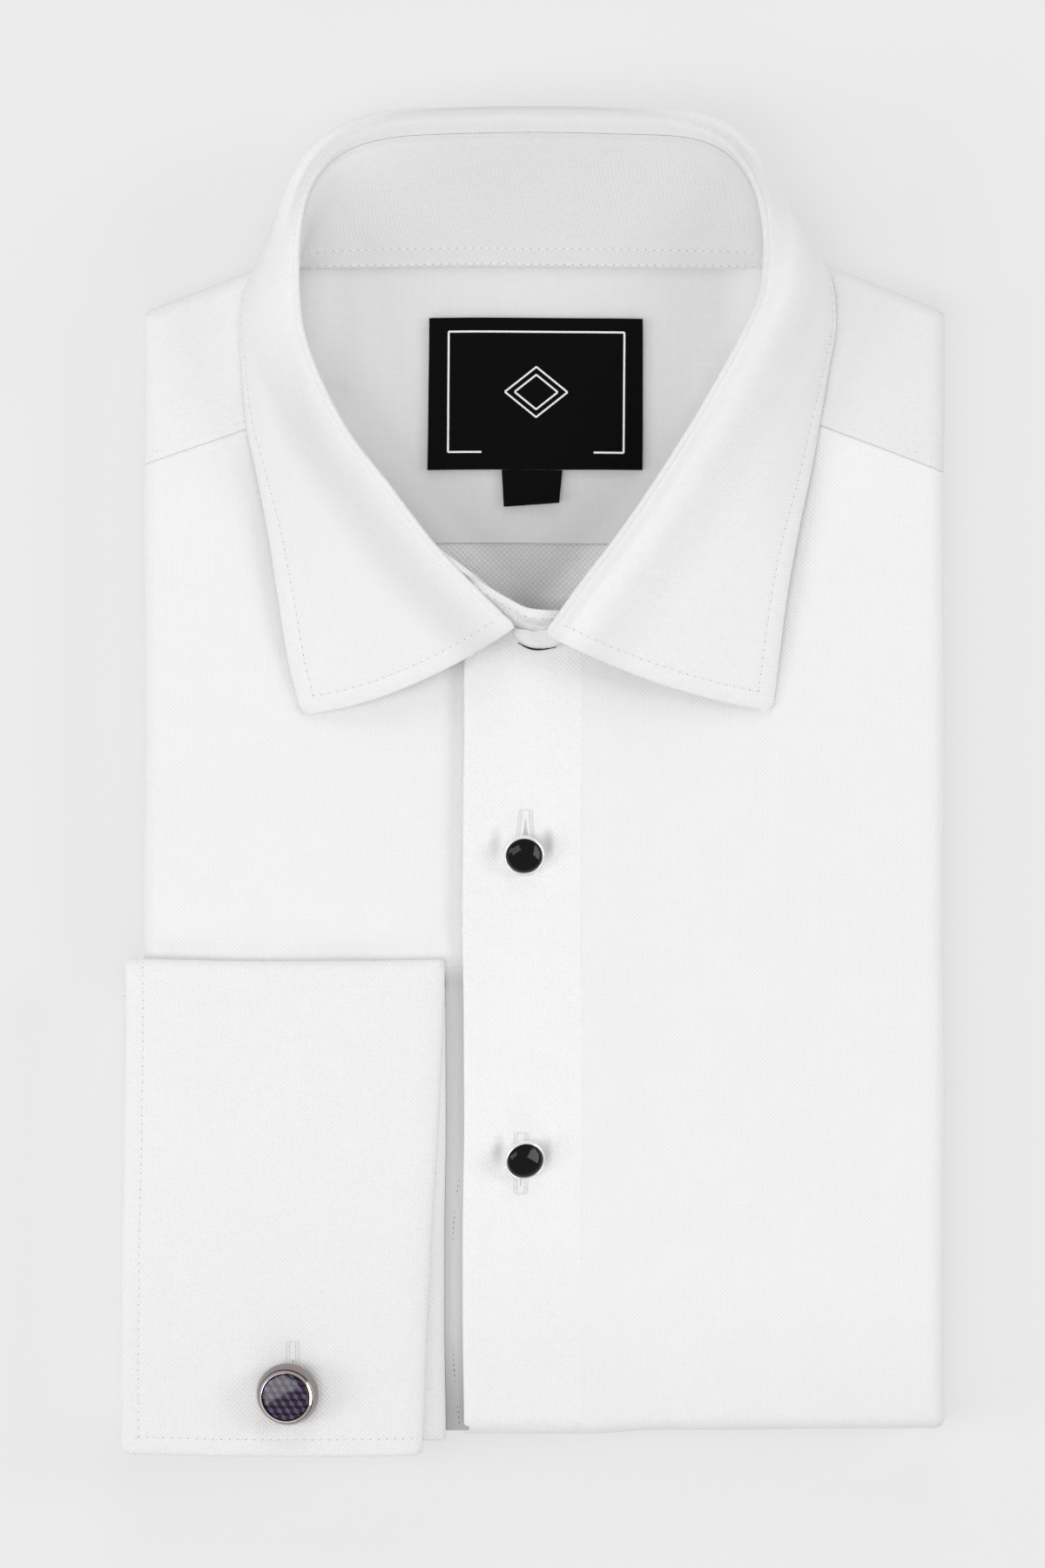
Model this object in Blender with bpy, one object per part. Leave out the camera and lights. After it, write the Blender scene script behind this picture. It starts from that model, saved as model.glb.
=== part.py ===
"""Folded long sleeve evening shirt with a double cuff, lying on its back on a flat surface.

X runs across the shirt and Y up it, from the hem fold to the collar. The origin is on the surface,
under the middle of the shirt. Sizes and places are in millimetres, and MM turns them into metres.
"Right" and "left" are the wearer's, so the right front is on the -X side.
"""

import math
from collections import namedtuple

import bmesh
import bpy
from mathutils import Matrix, Vector

MM = 0.001

# Body, folded to a rectangle with two sloping shoulders
SIDE_RIGHT, SIDE_LEFT = -111.75, 118.25
HEM_FOLD = -186.4
SHOULDER_RIGHT = ((-111.75, 134.6), (-80.25, 147.0))
SHOULDER_LEFT = ((118.25, 134.5), (83.6, 148.6))
CORNER_RADIUS = 3.0
YOKE_SEAM_RIGHT = ((-111.75, 90.4), (-60.5, 109.0))
YOKE_SEAM_LEFT = ((118.25, 88.2), (55.5, 112.2))
YOKE_NECK_RIGHT, YOKE_NECK_LEFT = -69.0, 68.0
NECK_FRONT = 44.0

# Layers, from the surface up
CLOTH = 1.2
GAP = 0.3
CORE_TOP = 19.0
PANEL_TOP = CORE_TOP + GAP + CLOTH
PLACKET_TOP = PANEL_TOP + GAP + CLOTH
FOLD_RADIUS = 4.6
FOLD_LIP = 5.0
SEAM_START = FOLD_RADIUS + 1.0

# Folded layers. Each is a round lobe at the edge, and the groove over the middle one takes the fold lips.
Lobe = namedtuple("Lobe", "bottom top inset")
BOTTOM_LOBE, MIDDLE_LOBE = Lobe(0.0, 5.3, 0.9), Lobe(5.7, 11.0, 0.6)
TOP_LOBE = Lobe(12.8, CORE_TOP, 1.5)
CREASE_INSET = 3.2
GROOVE_INSET = FOLD_RADIUS + FOLD_LIP + 0.8

# Placket
PLACKET_X = (-19.75, 13.75)
PLACKET_END = 43.0
FRONTS_MEET = -3.0
PLACKET_SWEEP = math.radians(150)

# Inside of the neck
LINING_END = 67.9
NECK_BACK = 146.6
LABEL_X, LABEL_Y, LABEL_SKEW = (-30.0, 31.25), (89.0, 132.5), 0.5
TAB_X, TAB_Y, TAB_SKEW = (-8.25, 7.25), (78.5, 88.7), 0.7
LABEL_CLOTH = 1.0

# Collar. Each row is one section: the fold line, the handle that bends the fall outwards, and its edge.
COLLAR_HALF = 0.8
SEAM_OUT = 2.2
SEAM_HEIGHT = 21.9
SEAM_Y = 147.4
TIP_FLAP, BACK_FLAP = 1.5, 8.0
BAND_CLEARANCE = 1.0
Leaf = namedtuple("Leaf", "roll handle edge")
RIGHT_LEAF = (
    Leaf((-5.2, 43.4, 33.5), (-36.0, 22.4, 28.0), (-66.6, 19.0, 21.8)),
    Leaf((-15.5, 53.6, 34.5), (-43.0, 38.0, 29.5), (-70.2, 34.0, 21.8)),
    Leaf((-28.6, 67.5, 36.0), (-50.0, 57.0, 31.5), (-73.0, 52.0, 21.8)),
    Leaf((-41.5, 84.5, 38.5), (-58.0, 77.0, 35.0), (-75.8, 71.0, 21.9)),
    Leaf((-52.6, 98.6, 41.0), (-66.0, 94.0, 38.5), (-79.2, 87.5, 22.0)),
    Leaf((-60.8, 113.8, 43.0), (-72.0, 110.0, 41.5), (-82.4, 102.0, 22.1)),
    Leaf((-66.0, 128.6, 44.5), (-76.5, 126.0, 44.0), (-83.6, 117.0, 22.3)),
    Leaf((-67.3, 142.0, 45.0), (-79.0, 141.0, 45.0), (-84.3, 132.0, 22.6)),
)
LEFT_LEAF = (
    Leaf((3.6, 41.4, 33.5), (34.0, 26.0, 28.0), (68.6, 19.8, 21.8)),
    Leaf((13.5, 55.3, 34.5), (42.0, 41.0, 29.5), (70.6, 35.0, 21.8)),
    Leaf((24.0, 69.2, 36.0), (49.0, 60.0, 31.5), (73.0, 53.0, 21.8)),
    Leaf((34.5, 84.3, 38.5), (56.0, 78.0, 35.0), (76.2, 70.0, 21.9)),
    Leaf((43.5, 98.6, 41.0), (63.0, 94.0, 38.5), (79.8, 87.5, 22.0)),
    Leaf((51.6, 112.5, 43.0), (69.0, 110.0, 41.5), (82.4, 103.0, 22.1)),
    Leaf((59.3, 126.5, 44.5), (75.0, 125.0, 44.0), (84.6, 117.0, 22.3)),
    Leaf((65.4, 140.5, 45.0), (80.0, 140.0, 45.0), (86.6, 132.0, 22.6)),
)
Back = namedtuple("Back", "seam_x roll handle edge")
COLLAR_BACK = (
    Back(-68.4, (-67.2, 153.0, 44.5), (-77.0, 153.5, 42.0), (-79.8, 148.2, 20.8)),
    Back(-66.0, (-66.2, 163.0, 43.0), (-74.5, 165.0, 36.0), (-72.0, 156.5, 13.0)),
    Back(-60.0, (-61.5, 176.5, 41.0), (-73.5, 180.0, 33.0), (-64.0, 166.0, 6.5)),
    Back(-49.0, (-51.0, 185.0, 39.5), (-60.0, 194.5, 29.0), (-51.0, 170.0, 2.5)),
    Back(-37.0, (-42.0, 188.6, 38.5), (-44.0, 197.5, 27.0), (-40.0, 171.0, 1.2)),
    Back(0.0, (0.0, 189.8, 38.0), (0.0, 198.0, 26.0), (0.0, 171.0, 1.0)),
    Back(38.0, (44.0, 189.0, 38.5), (46.0, 198.0, 27.0), (42.0, 171.0, 1.2)),
    Back(50.0, (53.0, 185.5, 39.5), (62.0, 195.0, 29.0), (53.0, 170.0, 2.5)),
    Back(60.0, (61.5, 176.5, 41.0), (71.0, 180.0, 33.0), (64.0, 166.0, 6.5)),
    Back(65.5, (66.1, 163.5, 43.0), (77.0, 166.0, 37.0), (75.0, 157.5, 13.0)),
    Back(67.6, (66.6, 153.0, 44.5), (79.0, 154.5, 42.0), (84.0, 150.2, 20.8)),
)
# The two ends of the band, which cross at the front: the seam and the upper edge of each section
BandEnd = namedtuple("BandEnd", "seam top")
UNDER_END = (
    BandEnd((-19.5, 55.0, 23.2), (-14.5, 56.6, 32.3)),
    BandEnd((-9.5, 47.0, 23.2), (-6.5, 51.6, 31.5)),
    BandEnd((0.5, 43.6, 23.4), (-0.7, 49.0, 31.0)),
    BandEnd((8.3, 44.4, 23.4), (8.6, 48.4, 30.5)),
)
OVER_END = (
    BandEnd((-6.3, 40.4, 23.2), (-5.6, 42.8, 28.3)),
    BandEnd((1.0, 38.9, 23.2), (1.2, 42.0, 29.0)),
    BandEnd((9.0, 41.6, 23.2), (10.0, 45.0, 29.5)),
)

# Double cuff
CUFF_HALF = 1.2
CUFF_TOP_LEVEL, CUFF_UNDER_LEVEL = 24.9, 22.05
CUFF_END = -193.25
CUFF_FOLD = -52.25
CUFF_FREE_EDGE = (-116.6, -118.25)
CUFF_TURNED_EDGE = (-26.6, -32.55)
CUFF_LIP = 3.0
UNDER_X, UNDER_Y = (-114.0, -25.6), (-189.4, -59.2)

# Sleeve, where it comes round the side of the body to the cuff
SLEEVE_Y = (-184.0, -62.0)
SLEEVE_HALF = 0.6
Bend = namedtuple("Bend", "x height")
SLEEVE_BENDS = (
    Bend(-115.0, 22.2), Bend(-116.2, 20.6), Bend(-117.0, 16.0), Bend(-117.2, 10.5),
    Bend(-116.6, 5.0), Bend(-115.0, 1.6), Bend(-112.6, 0.8),
)

# Studs and cufflink, turned about their own axis: radius and height of each point of the outline
Turn = namedtuple("Turn", "radius height")
STUD_PLACES = ((-2.4, -21.0, 20.0, 0.0), (-2.8, -108.3, 21.0, 12.0))
STUD_RIM = (
    Turn(0, -0.4), Turn(1.5, -0.4), Turn(1.5, 0), Turn(4.2, 0), Turn(5.3, 0.5), Turn(5.7, 1.4),
    Turn(5.6, 2.2), Turn(5.3, 2.5), Turn(5.0, 2.2), Turn(4.95, 1.5), Turn(0, 1.5),
)
STUD_DOME = (
    Turn(0, 1.8), Turn(4.6, 1.8), Turn(4.65, 2.3), Turn(4.2, 3.0), Turn(3.0, 3.6),
    Turn(1.5, 3.95), Turn(0, 4.05),
)
LINK_PLACE = (-70.0, -175.0, 9.0, -7.0)
LINK_BARREL = (
    Turn(0, -0.9), Turn(2.2, -0.9), Turn(2.2, 0), Turn(7.4, 0), Turn(8.6, 0.6), Turn(9.0, 1.8),
    Turn(8.55, 3.8), Turn(7.9, 5.5), Turn(7.5, 5.9), Turn(7.15, 5.6), Turn(7.05, 4.9), Turn(0, 4.9),
)
LINK_FACE = (
    Turn(0, 5.2), Turn(6.7, 5.2), Turn(6.75, 5.6), Turn(5.4, 6.0), Turn(3.0, 6.3), Turn(0, 6.4),
)
TURN_STEPS = 24

Finish = namedtuple("Finish", "colour roughness metallic")
FINISHES = {
    "white_pique": Finish((0.90, 0.90, 0.90), 0.8, 0.0),
    "white_lining": Finish((0.86, 0.86, 0.86), 0.8, 0.0),
    "black_label": Finish((0.012, 0.012, 0.012), 0.7, 0.0),
    "silver": Finish((0.80, 0.80, 0.82), 0.2, 1.0),
    "black_enamel": Finish((0.010, 0.010, 0.010), 0.1, 0.0),
    "gunmetal": Finish((0.32, 0.25, 0.27), 0.2, 1.0),
    "link_inlay": Finish((0.16, 0.13, 0.26), 0.15, 0.0),
}


def clear_scene():
    for obj in list(bpy.data.objects):
        bpy.data.objects.remove(obj, do_unlink=True)


def material(name):
    found = bpy.data.materials.get(name)
    if found:
        return found
    finish = FINISHES[name]
    made = bpy.data.materials.new(name)
    made.use_nodes = True
    shader = made.node_tree.nodes["Principled BSDF"]
    shader.inputs["Base Color"].default_value = (*finish.colour, 1)
    shader.inputs["Roughness"].default_value = finish.roughness
    shader.inputs["Metallic"].default_value = finish.metallic
    made.diffuse_color = (*finish.colour, 1)
    return made


def solid(name, points, faces, finish):
    """A closed mesh object from points in millimetres, with its faces turned outwards."""
    mesh = bpy.data.meshes.new(name)
    mesh.from_pydata([Vector(point) * MM for point in points], [], faces)
    shape = bmesh.new()
    shape.from_mesh(mesh)
    bmesh.ops.recalc_face_normals(shape, faces=shape.faces)
    shape.to_mesh(mesh)
    shape.free()
    mesh.shade_smooth()
    mesh.set_sharp_from_angle(angle=math.radians(40))
    made = bpy.data.objects.new(name, mesh)
    bpy.context.scene.collection.objects.link(made)
    made.data.materials.append(material(finish))
    return made


# Outlines with rounded corners, and plates with a folded edge


def turned_right(direction):
    return Vector((direction.y, -direction.x))


def loop_at(corners, inset, closed, radius=CORNER_RADIUS, steps=4):
    """The outline through these corners, anticlockwise, moved inwards, with each corner rounded."""
    corners = [Vector(corner) for corner in corners]
    count = len(corners)
    points = []
    for i, corner in enumerate(corners):
        if not closed and i in (0, count - 1):
            other = corners[1] if i == 0 else corners[-2]
            along = (other - corner if i == 0 else corner - other).normalized()
            points.append(corner - turned_right(along) * inset)
            continue
        arriving = (corner - corners[i - 1]).normalized()
        leaving = (corners[(i + 1) % count] - corner).normalized()
        bend = max(radius - inset, 0.2)
        inward = -(turned_right(arriving) + turned_right(leaving)).normalized()
        share = inward.dot(-turned_right(arriving))
        centre = corner + inward * ((inset + bend) / share)
        start = turned_right(arriving)
        turn = start.angle_signed(turned_right(leaving))
        for k in range(steps + 1):
            spoke = start.copy()
            spoke.rotate(Matrix.Rotation(-turn * k / steps, 2))
            points.append(centre + spoke * bend)
    return points


def folded_plate(name, path, rest, top, finish, radius=FOLD_RADIUS, sweep=math.pi, lip=FOLD_LIP):
    """A flat panel whose outer edge, along path, is folded under. rest closes its outline."""
    steps = 8
    outer, inner = [], []
    if lip:
        outer.append((radius + lip, top - 2 * radius))
        inner.append((radius + lip, top - 2 * radius + CLOTH))
    for k in range(steps + 1):
        angle = sweep * (1 - k / steps)
        for rows, reach in ((outer, radius), (inner, radius - CLOTH)):
            rows.append((radius - reach * math.sin(angle), top - radius + reach * math.cos(angle)))
    points, faces, rings = [], [], []
    for rows in (outer, inner):
        for inset, height in rows:
            ring = [len(points) + k for k in range(len(loop_at(path, inset, False)))]
            points += [(*point, height) for point in loop_at(path, inset, False)]
            rings.append(ring)
    half = len(outer)
    width = len(rings[0])
    for side in (rings[:half], rings[half:]):
        for low, high in zip(side, side[1:]):
            for k in range(width - 1):
                faces.append((low[k], low[k + 1], high[k + 1], high[k]))
    for k in range(width - 1):
        faces.append((rings[0][k], rings[0][k + 1], rings[half][k + 1], rings[half][k]))
    for j in range(half - 1):
        for end in (0, width - 1):
            faces.append((rings[j][end], rings[j + 1][end], rings[half + j + 1][end], rings[half + j][end]))
    upper = list(rings[half - 1])
    lower = list(rings[-1])
    for point in rest:
        upper.append(len(points))
        points.append((*point, top))
        lower.append(len(points))
        points.append((*point, top - CLOTH))
    faces += [tuple(upper), tuple(reversed(lower))]
    for k in range(width - 1, len(upper)):
        after = (k + 1) % len(upper)
        faces.append((upper[k], upper[after], lower[after], lower[k]))
    return solid(name, points, faces, finish)


def prism(name, outline, bottom, top, finish):
    count = len(outline)
    points = [(*point, bottom) for point in outline] + [(*point, top) for point in outline]
    faces = [tuple(range(count)), tuple(range(count, 2 * count))]
    faces += [(k, (k + 1) % count, count + (k + 1) % count, count + k) for k in range(count)]
    return solid(name, points, faces, finish)


# Sheets from a grid of points


def with_borders(rows, inset):
    """The rows with one more just inside each end, so that the edge of a sheet can be rounded."""

    def near(first, second):
        step = max((b - a).length for a, b in zip(first, second))
        return [a.lerp(b, min(inset / step, 0.5)) for a, b in zip(first, second)]

    return [rows[0], near(rows[0], rows[1]), *rows[1:-1], near(rows[-1], rows[-2]), rows[-1]]


def sheet(name, rows, half, finish, edge=0.45):
    """A sheet twice half thick about a grid of points, thinner along its edges."""
    rows = with_borders([[Vector(point) for point in row] for row in rows], half)
    rows = [list(row) for row in zip(*with_borders([list(row) for row in zip(*rows)], half))]
    tall, wide = len(rows), len(rows[0])
    upper, lower = [], []
    for i in range(tall):
        for j in range(wide):
            down = rows[min(i + 1, tall - 1)][j] - rows[max(i - 1, 0)][j]
            along = rows[i][min(j + 1, wide - 1)] - rows[i][max(j - 1, 0)]
            normal = down.cross(along).normalized()
            on_edge = i in (0, tall - 1) or j in (0, wide - 1)
            reach = half * edge if on_edge else half
            upper.append(rows[i][j] + normal * reach)
            lower.append(rows[i][j] - normal * reach)
    count = tall * wide
    faces = []
    for i in range(tall - 1):
        for j in range(wide - 1):
            a = i * wide + j
            faces.append((a, a + wide, a + wide + 1, a + 1))
            faces.append((a + count, a + count + 1, a + count + wide + 1, a + count + wide))
    border = [j for j in range(wide)]
    border += [i * wide + wide - 1 for i in range(1, tall)]
    border += [(tall - 1) * wide + j for j in range(wide - 2, -1, -1)]
    border += [i * wide for i in range(tall - 2, 0, -1)]
    for k, a in enumerate(border):
        b = border[(k + 1) % len(border)]
        faces.append((a, b, b + count, a + count))
    return solid(name, upper + lower, faces, finish)


def smooth(knots, steps):
    """Points on a smooth curve through these points, with steps of them from each to the next."""
    knots = [Vector(knot) for knot in knots]
    ends = [2 * knots[0] - knots[1], *knots, 2 * knots[-1] - knots[-2]]
    points = []
    for before, a, b, after in zip(ends, ends[1:], ends[2:], ends[3:]):
        for k in range(steps):
            t = k / steps
            pull = (b - before) * t + (2 * before - 5 * a + 4 * b - after) * t * t
            pull += (3 * a - before - 3 * b + after) * t * t * t
            points.append(a + pull / 2)
    return [*points, knots[-1]]


# Collar


def collar_sections():
    """The sections from the right tip round the back to the left tip: seam, roll, handle, edge, flap."""
    Section = namedtuple("Section", "seam roll handle edge flap")
    sections = []

    def leaf_section(leaf, place):
        roll, handle, edge = (Vector(point) for point in leaf)
        outward = Vector((edge.x - roll.x, edge.y - roll.y, 0)).normalized()
        seam = roll + outward * SEAM_OUT
        seam.z = SEAM_HEIGHT
        flap = TIP_FLAP + (BACK_FLAP - TIP_FLAP) * 0.7 * place / len(RIGHT_LEAF)
        return Section(seam, roll, handle, edge, flap)

    for place, leaf in enumerate(RIGHT_LEAF):
        sections.append(leaf_section(leaf, place))
    for row in COLLAR_BACK:
        seam = Vector((row.seam_x, SEAM_Y, SEAM_HEIGHT))
        sections.append(Section(seam, Vector(row.roll), Vector(row.handle), Vector(row.edge), BACK_FLAP))
    for place, leaf in reversed(list(enumerate(LEFT_LEAF))):
        sections.append(leaf_section(leaf, place))
    return sections


def neck_line(side):
    """The neck seam of one front in plan, from the centre to the back, moved in under the band."""
    sections = collar_sections()
    if side < 0:
        seams = [section.seam for section in sections[1 : len(RIGHT_LEAF)]]
    else:
        seams = [section.seam for section in reversed(sections[-len(LEFT_LEAF) : -1])]
    return [Vector((side * 10.0, 47.0))] + [seam.xy for seam in seams]


def make_collar_fall():
    """The fall with both leaves: up from the band, over the fold and down to the outer edge."""
    arc_steps = 7
    lines = []
    for section in collar_sections():
        down = (section.seam - section.roll).normalized()
        line = [section.roll + down * section.flap]
        for k in range(arc_steps + 1):
            t = k / arc_steps
            pull = section.roll * (1 - t) ** 2 + section.handle * 2 * t * (1 - t)
            line.append(pull + section.edge * t * t)
        lines.append(line)
    columns = [smooth(column, 2) for column in zip(*lines)]
    return sheet("collar_fall", columns, COLLAR_HALF, "white_pique")


def make_collar_band():
    """The band, from the over end at the front, round the left side and the back, to the under end."""
    lines = [(Vector(end.seam), Vector(end.top)) for end in OVER_END]
    for section in reversed(collar_sections()[2:-1]):
        down = (section.seam - section.roll).normalized()
        lines.append((section.seam, section.roll + down * (section.flap + BAND_CLEARANCE)))
    lines += [(Vector(end.seam), Vector(end.top)) for end in UNDER_END]
    rows = [[low.lerp(high, share) for low, high in lines] for share in (0, 0.5, 1)]
    columns = [smooth(row, 2) for row in rows]
    return sheet("collar_band", columns, COLLAR_HALF, "white_pique")


# Body


def lobe_levels(lobe, angles):
    """(inset, height) of points round a lobe, at these angles in degrees from level."""
    radius = (lobe.top - lobe.bottom) / 2
    middle = (lobe.top + lobe.bottom) / 2
    levels = []
    for angle in map(math.radians, angles):
        levels.append((lobe.inset + radius * (1 - math.cos(angle)), middle + radius * math.sin(angle)))
    return levels


def make_folded_layers():
    """The hidden backs, tails and sleeves as one rounded solid, layered at its edge, flat underneath."""
    outline = (
        (SIDE_RIGHT, HEM_FOLD), (SIDE_LEFT, HEM_FOLD), SHOULDER_LEFT[0], SHOULDER_LEFT[1],
        SHOULDER_RIGHT[1], SHOULDER_RIGHT[0],
    )
    levels = [(BOTTOM_LOBE.inset + 4.0, BOTTOM_LOBE.bottom)]
    levels += lobe_levels(BOTTOM_LOBE, (-60, -30, 0, 30, 60))
    levels.append((CREASE_INSET, (BOTTOM_LOBE.top + MIDDLE_LOBE.bottom) / 2))
    levels += lobe_levels(MIDDLE_LOBE, (-60, -30, 0, 30, 60, 90))
    levels += [(GROOVE_INSET, MIDDLE_LOBE.top), (GROOVE_INSET, TOP_LOBE.bottom)]
    levels += lobe_levels(TOP_LOBE, (-90, -60, -30, 0, 30, 60, 90))
    points, faces = [], []
    for inset, height in levels:
        points += [(*point, height) for point in loop_at(outline, inset, True)]
    count = len(points) // len(levels)
    for j in range(len(levels) - 1):
        for k in range(count):
            a, b = j * count + k, j * count + (k + 1) % count
            faces.append((a, b, b + count, a + count))
    faces.append(tuple(range(count)))
    faces.append(tuple(range(len(points) - count, len(points))))
    return solid("folded_layers", points, faces, "white_pique")


def seam_point(seam, x, lift=0.0):
    """The point at x on a yoke seam, moved up the shirt by lift."""
    (x0, y0), (x1, y1) = seam
    return (x, y0 + (y1 - y0) * (x - x0) / (x1 - x0) + lift)


def make_right_side():
    """The right front and the right yoke, which meet at the yoke seam."""
    neck = neck_line(-1)
    (_, seam_y), seam_end = YOKE_SEAM_RIGHT
    rest = [(FRONTS_MEET, NECK_FRONT)]
    rest += [point for point in neck if point.y < seam_end[1]]
    rest += [seam_end, seam_point(YOKE_SEAM_RIGHT, SIDE_RIGHT + SEAM_START)]
    path = (YOKE_SEAM_RIGHT[0], (SIDE_RIGHT, HEM_FOLD), (FRONTS_MEET, HEM_FOLD))
    folded_plate("front_right", path, rest, PANEL_TOP, "white_pique")
    rest = [
        seam_point(YOKE_SEAM_RIGHT, SIDE_RIGHT + SEAM_START, GAP),
        seam_point(YOKE_SEAM_RIGHT, seam_end[0], GAP),
    ]
    rest += [point for point in neck if point.y > seam_end[1]]
    corner, shoulder = SHOULDER_RIGHT
    path = ((YOKE_NECK_RIGHT, shoulder[1]), shoulder, corner, (SIDE_RIGHT, seam_y + GAP))
    folded_plate("yoke_right", path, rest, PANEL_TOP, "white_pique")


def make_left_side():
    """The left front and the left yoke, which meet at the yoke seam."""
    neck = neck_line(1)
    neck.reverse()
    (_, seam_y), seam_end = YOKE_SEAM_LEFT
    meet = FRONTS_MEET + GAP
    rest = [seam_point(YOKE_SEAM_LEFT, SIDE_LEFT - SEAM_START), seam_end]
    rest += [point for point in neck if point.y < seam_end[1]]
    rest.append((meet, NECK_FRONT))
    path = ((meet, HEM_FOLD), (SIDE_LEFT, HEM_FOLD), YOKE_SEAM_LEFT[0])
    folded_plate("front_left", path, rest, PANEL_TOP, "white_pique")
    rest = [point for point in neck if point.y > seam_end[1]]
    rest += [
        seam_point(YOKE_SEAM_LEFT, seam_end[0], GAP),
        seam_point(YOKE_SEAM_LEFT, SIDE_LEFT - SEAM_START, GAP),
    ]
    corner, shoulder = SHOULDER_LEFT
    path = ((SIDE_LEFT, seam_y + GAP), corner, shoulder, (YOKE_NECK_LEFT, shoulder[1]))
    folded_plate("yoke_left", path, rest, PANEL_TOP, "white_pique")


def make_placket():
    left, right = PLACKET_X
    folded_plate(
        "placket",
        ((left, HEM_FOLD - GAP - CLOTH), (right, HEM_FOLD - GAP - CLOTH)),
        [(right, PLACKET_END), (left, PLACKET_END)],
        PLACKET_TOP,
        "white_pique",
        radius=FOLD_RADIUS + GAP + CLOTH,
        sweep=PLACKET_SWEEP,
        lip=0,
    )


def make_neck_inside():
    """The back and the yoke lining inside the neck, and the label and size tab on the lining."""
    inset = 2 * GAP
    right = [point + Vector((inset, 0)) for point in neck_line(-1)]
    left = [point - Vector((inset, 0)) for point in neck_line(1)]
    bottom, top = CORE_TOP + GAP, PANEL_TOP

    def at(line, height):
        for low, high in zip(line, line[1:]):
            if low.y <= height <= high.y:
                return low.lerp(high, (height - low.y) / (high.y - low.y))
        return line[-1]

    below, above = LINING_END - GAP / 2, LINING_END + GAP / 2
    back = [point for point in left if point.y < below] + [at(left, below), at(right, below)]
    back += [point for point in reversed(right) if point.y < below]
    prism("back_inside", back, bottom, top, "white_pique")
    lining = [at(left, above)] + [point for point in left if above < point.y < NECK_BACK]
    lining += [Vector((left[-1].x, NECK_BACK)), Vector((right[-1].x, NECK_BACK))]
    lining += [point for point in reversed(right) if above < point.y < NECK_BACK] + [at(right, above)]
    prism("yoke_lining", lining, bottom, top, "white_lining")
    base = PANEL_TOP + GAP
    for name, (x0, x1), (y0, y1), skew in (
        ("label", LABEL_X, LABEL_Y, LABEL_SKEW),
        ("size_tab", TAB_X, TAB_Y, TAB_SKEW),
    ):
        outline = [(x0, y0 - skew), (x1, y0), (x1 - skew, y1), (x0 + skew, y1)]
        if name == "label":
            outline[0] = (x0, y0)
        prism(name, outline, base, base + LABEL_CLOTH, "black_label")


# Cuff and sleeve


def make_cuff():
    """The turned-back layer of the double cuff, folded over at the top, on the layers under it."""
    fold_bend = (CUFF_TOP_LEVEL - CUFF_UNDER_LEVEL) / 2
    crown = CUFF_FOLD - CUFF_HALF - fold_bend
    profile = [(CUFF_END, CUFF_TOP_LEVEL), (-150.0, CUFF_TOP_LEVEL), (-100.0, CUFF_TOP_LEVEL)]
    bend_steps = 6
    for k in range(bend_steps + 1):
        angle = math.pi * (0.5 - k / bend_steps)
        height = (CUFF_TOP_LEVEL + CUFF_UNDER_LEVEL) / 2 + fold_bend * math.sin(angle)
        profile.append((crown + fold_bend * math.cos(angle), height))
    profile.append((crown - CUFF_LIP, CUFF_UNDER_LEVEL))
    rows = []
    for y, height in profile:
        down = (CUFF_FOLD - y) / (CUFF_FOLD - CUFF_END)
        start = CUFF_FREE_EDGE[0] + (CUFF_FREE_EDGE[1] - CUFF_FREE_EDGE[0]) * down
        end = CUFF_TURNED_EDGE[0] + (CUFF_TURNED_EDGE[1] - CUFF_TURNED_EDGE[0]) * down
        rows.append([(start + (end - start) * share, y, height) for share in (0, 0.33, 0.67, 1)])
    sheet("cuff_top", rows, CUFF_HALF, "white_pique")
    rows = [[(x, y, CUFF_UNDER_LEVEL) for x in UNDER_X] for y in UNDER_Y]
    sheet("cuff_under", rows, CUFF_HALF, "white_pique")


def make_sleeve():
    rows = [[(bend.x, y, bend.height) for y in SLEEVE_Y] for bend in SLEEVE_BENDS]
    sheet("sleeve", rows, SLEEVE_HALF, "white_pique")


# Studs and cufflink


def turned(name, outline, place, base, finish):
    """A solid turned about its own axis, standing at place and tilted by two angles in degrees."""
    x, y, lean_x, lean_y = place
    points, faces = [], []
    for turn in outline:
        if turn.radius == 0:
            points.append(Vector((0, 0, turn.height)))
            continue
        for k in range(TURN_STEPS):
            angle = 2 * math.pi * k / TURN_STEPS
            across, up = turn.radius * math.cos(angle), turn.radius * math.sin(angle)
            points.append(Vector((across, up, turn.height)))
    rings = []
    start = 0
    for turn in outline:
        count = 1 if turn.radius == 0 else TURN_STEPS
        rings.append([start + k % count for k in range(TURN_STEPS)])
        start += count
    for low, high in zip(rings, rings[1:]):
        for k in range(TURN_STEPS):
            after = (k + 1) % TURN_STEPS
            corners = dict.fromkeys((low[k], low[after], high[after], high[k]))
            faces.append(tuple(corners))
    made = solid(name, points, faces, finish)
    made.location = Vector((x, y, base)) * MM
    made.rotation_euler = (math.radians(lean_x), math.radians(lean_y), 0)
    return made


def lifted(outline, place):
    """How far up a tilted piece stands so that its foot and its lowest edge clear what it is on."""
    tilt = math.radians(math.hypot(place[2], place[3]))
    return GAP + max(turn.radius * math.sin(tilt) - turn.height * math.cos(tilt) for turn in outline)


def make_studs():
    for number, place in enumerate(STUD_PLACES, start=1):
        base = PLACKET_TOP + lifted(STUD_RIM, place)
        turned(f"stud_{number}_rim", STUD_RIM, place, base, "silver")
        turned(f"stud_{number}_dome", STUD_DOME, place, base, "black_enamel")


def make_cufflink():
    base = CUFF_TOP_LEVEL + CUFF_HALF + lifted(LINK_BARREL, LINK_PLACE)
    turned("cufflink_barrel", LINK_BARREL, LINK_PLACE, base, "gunmetal")
    turned("cufflink_face", LINK_FACE, LINK_PLACE, base, "link_inlay")


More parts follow.
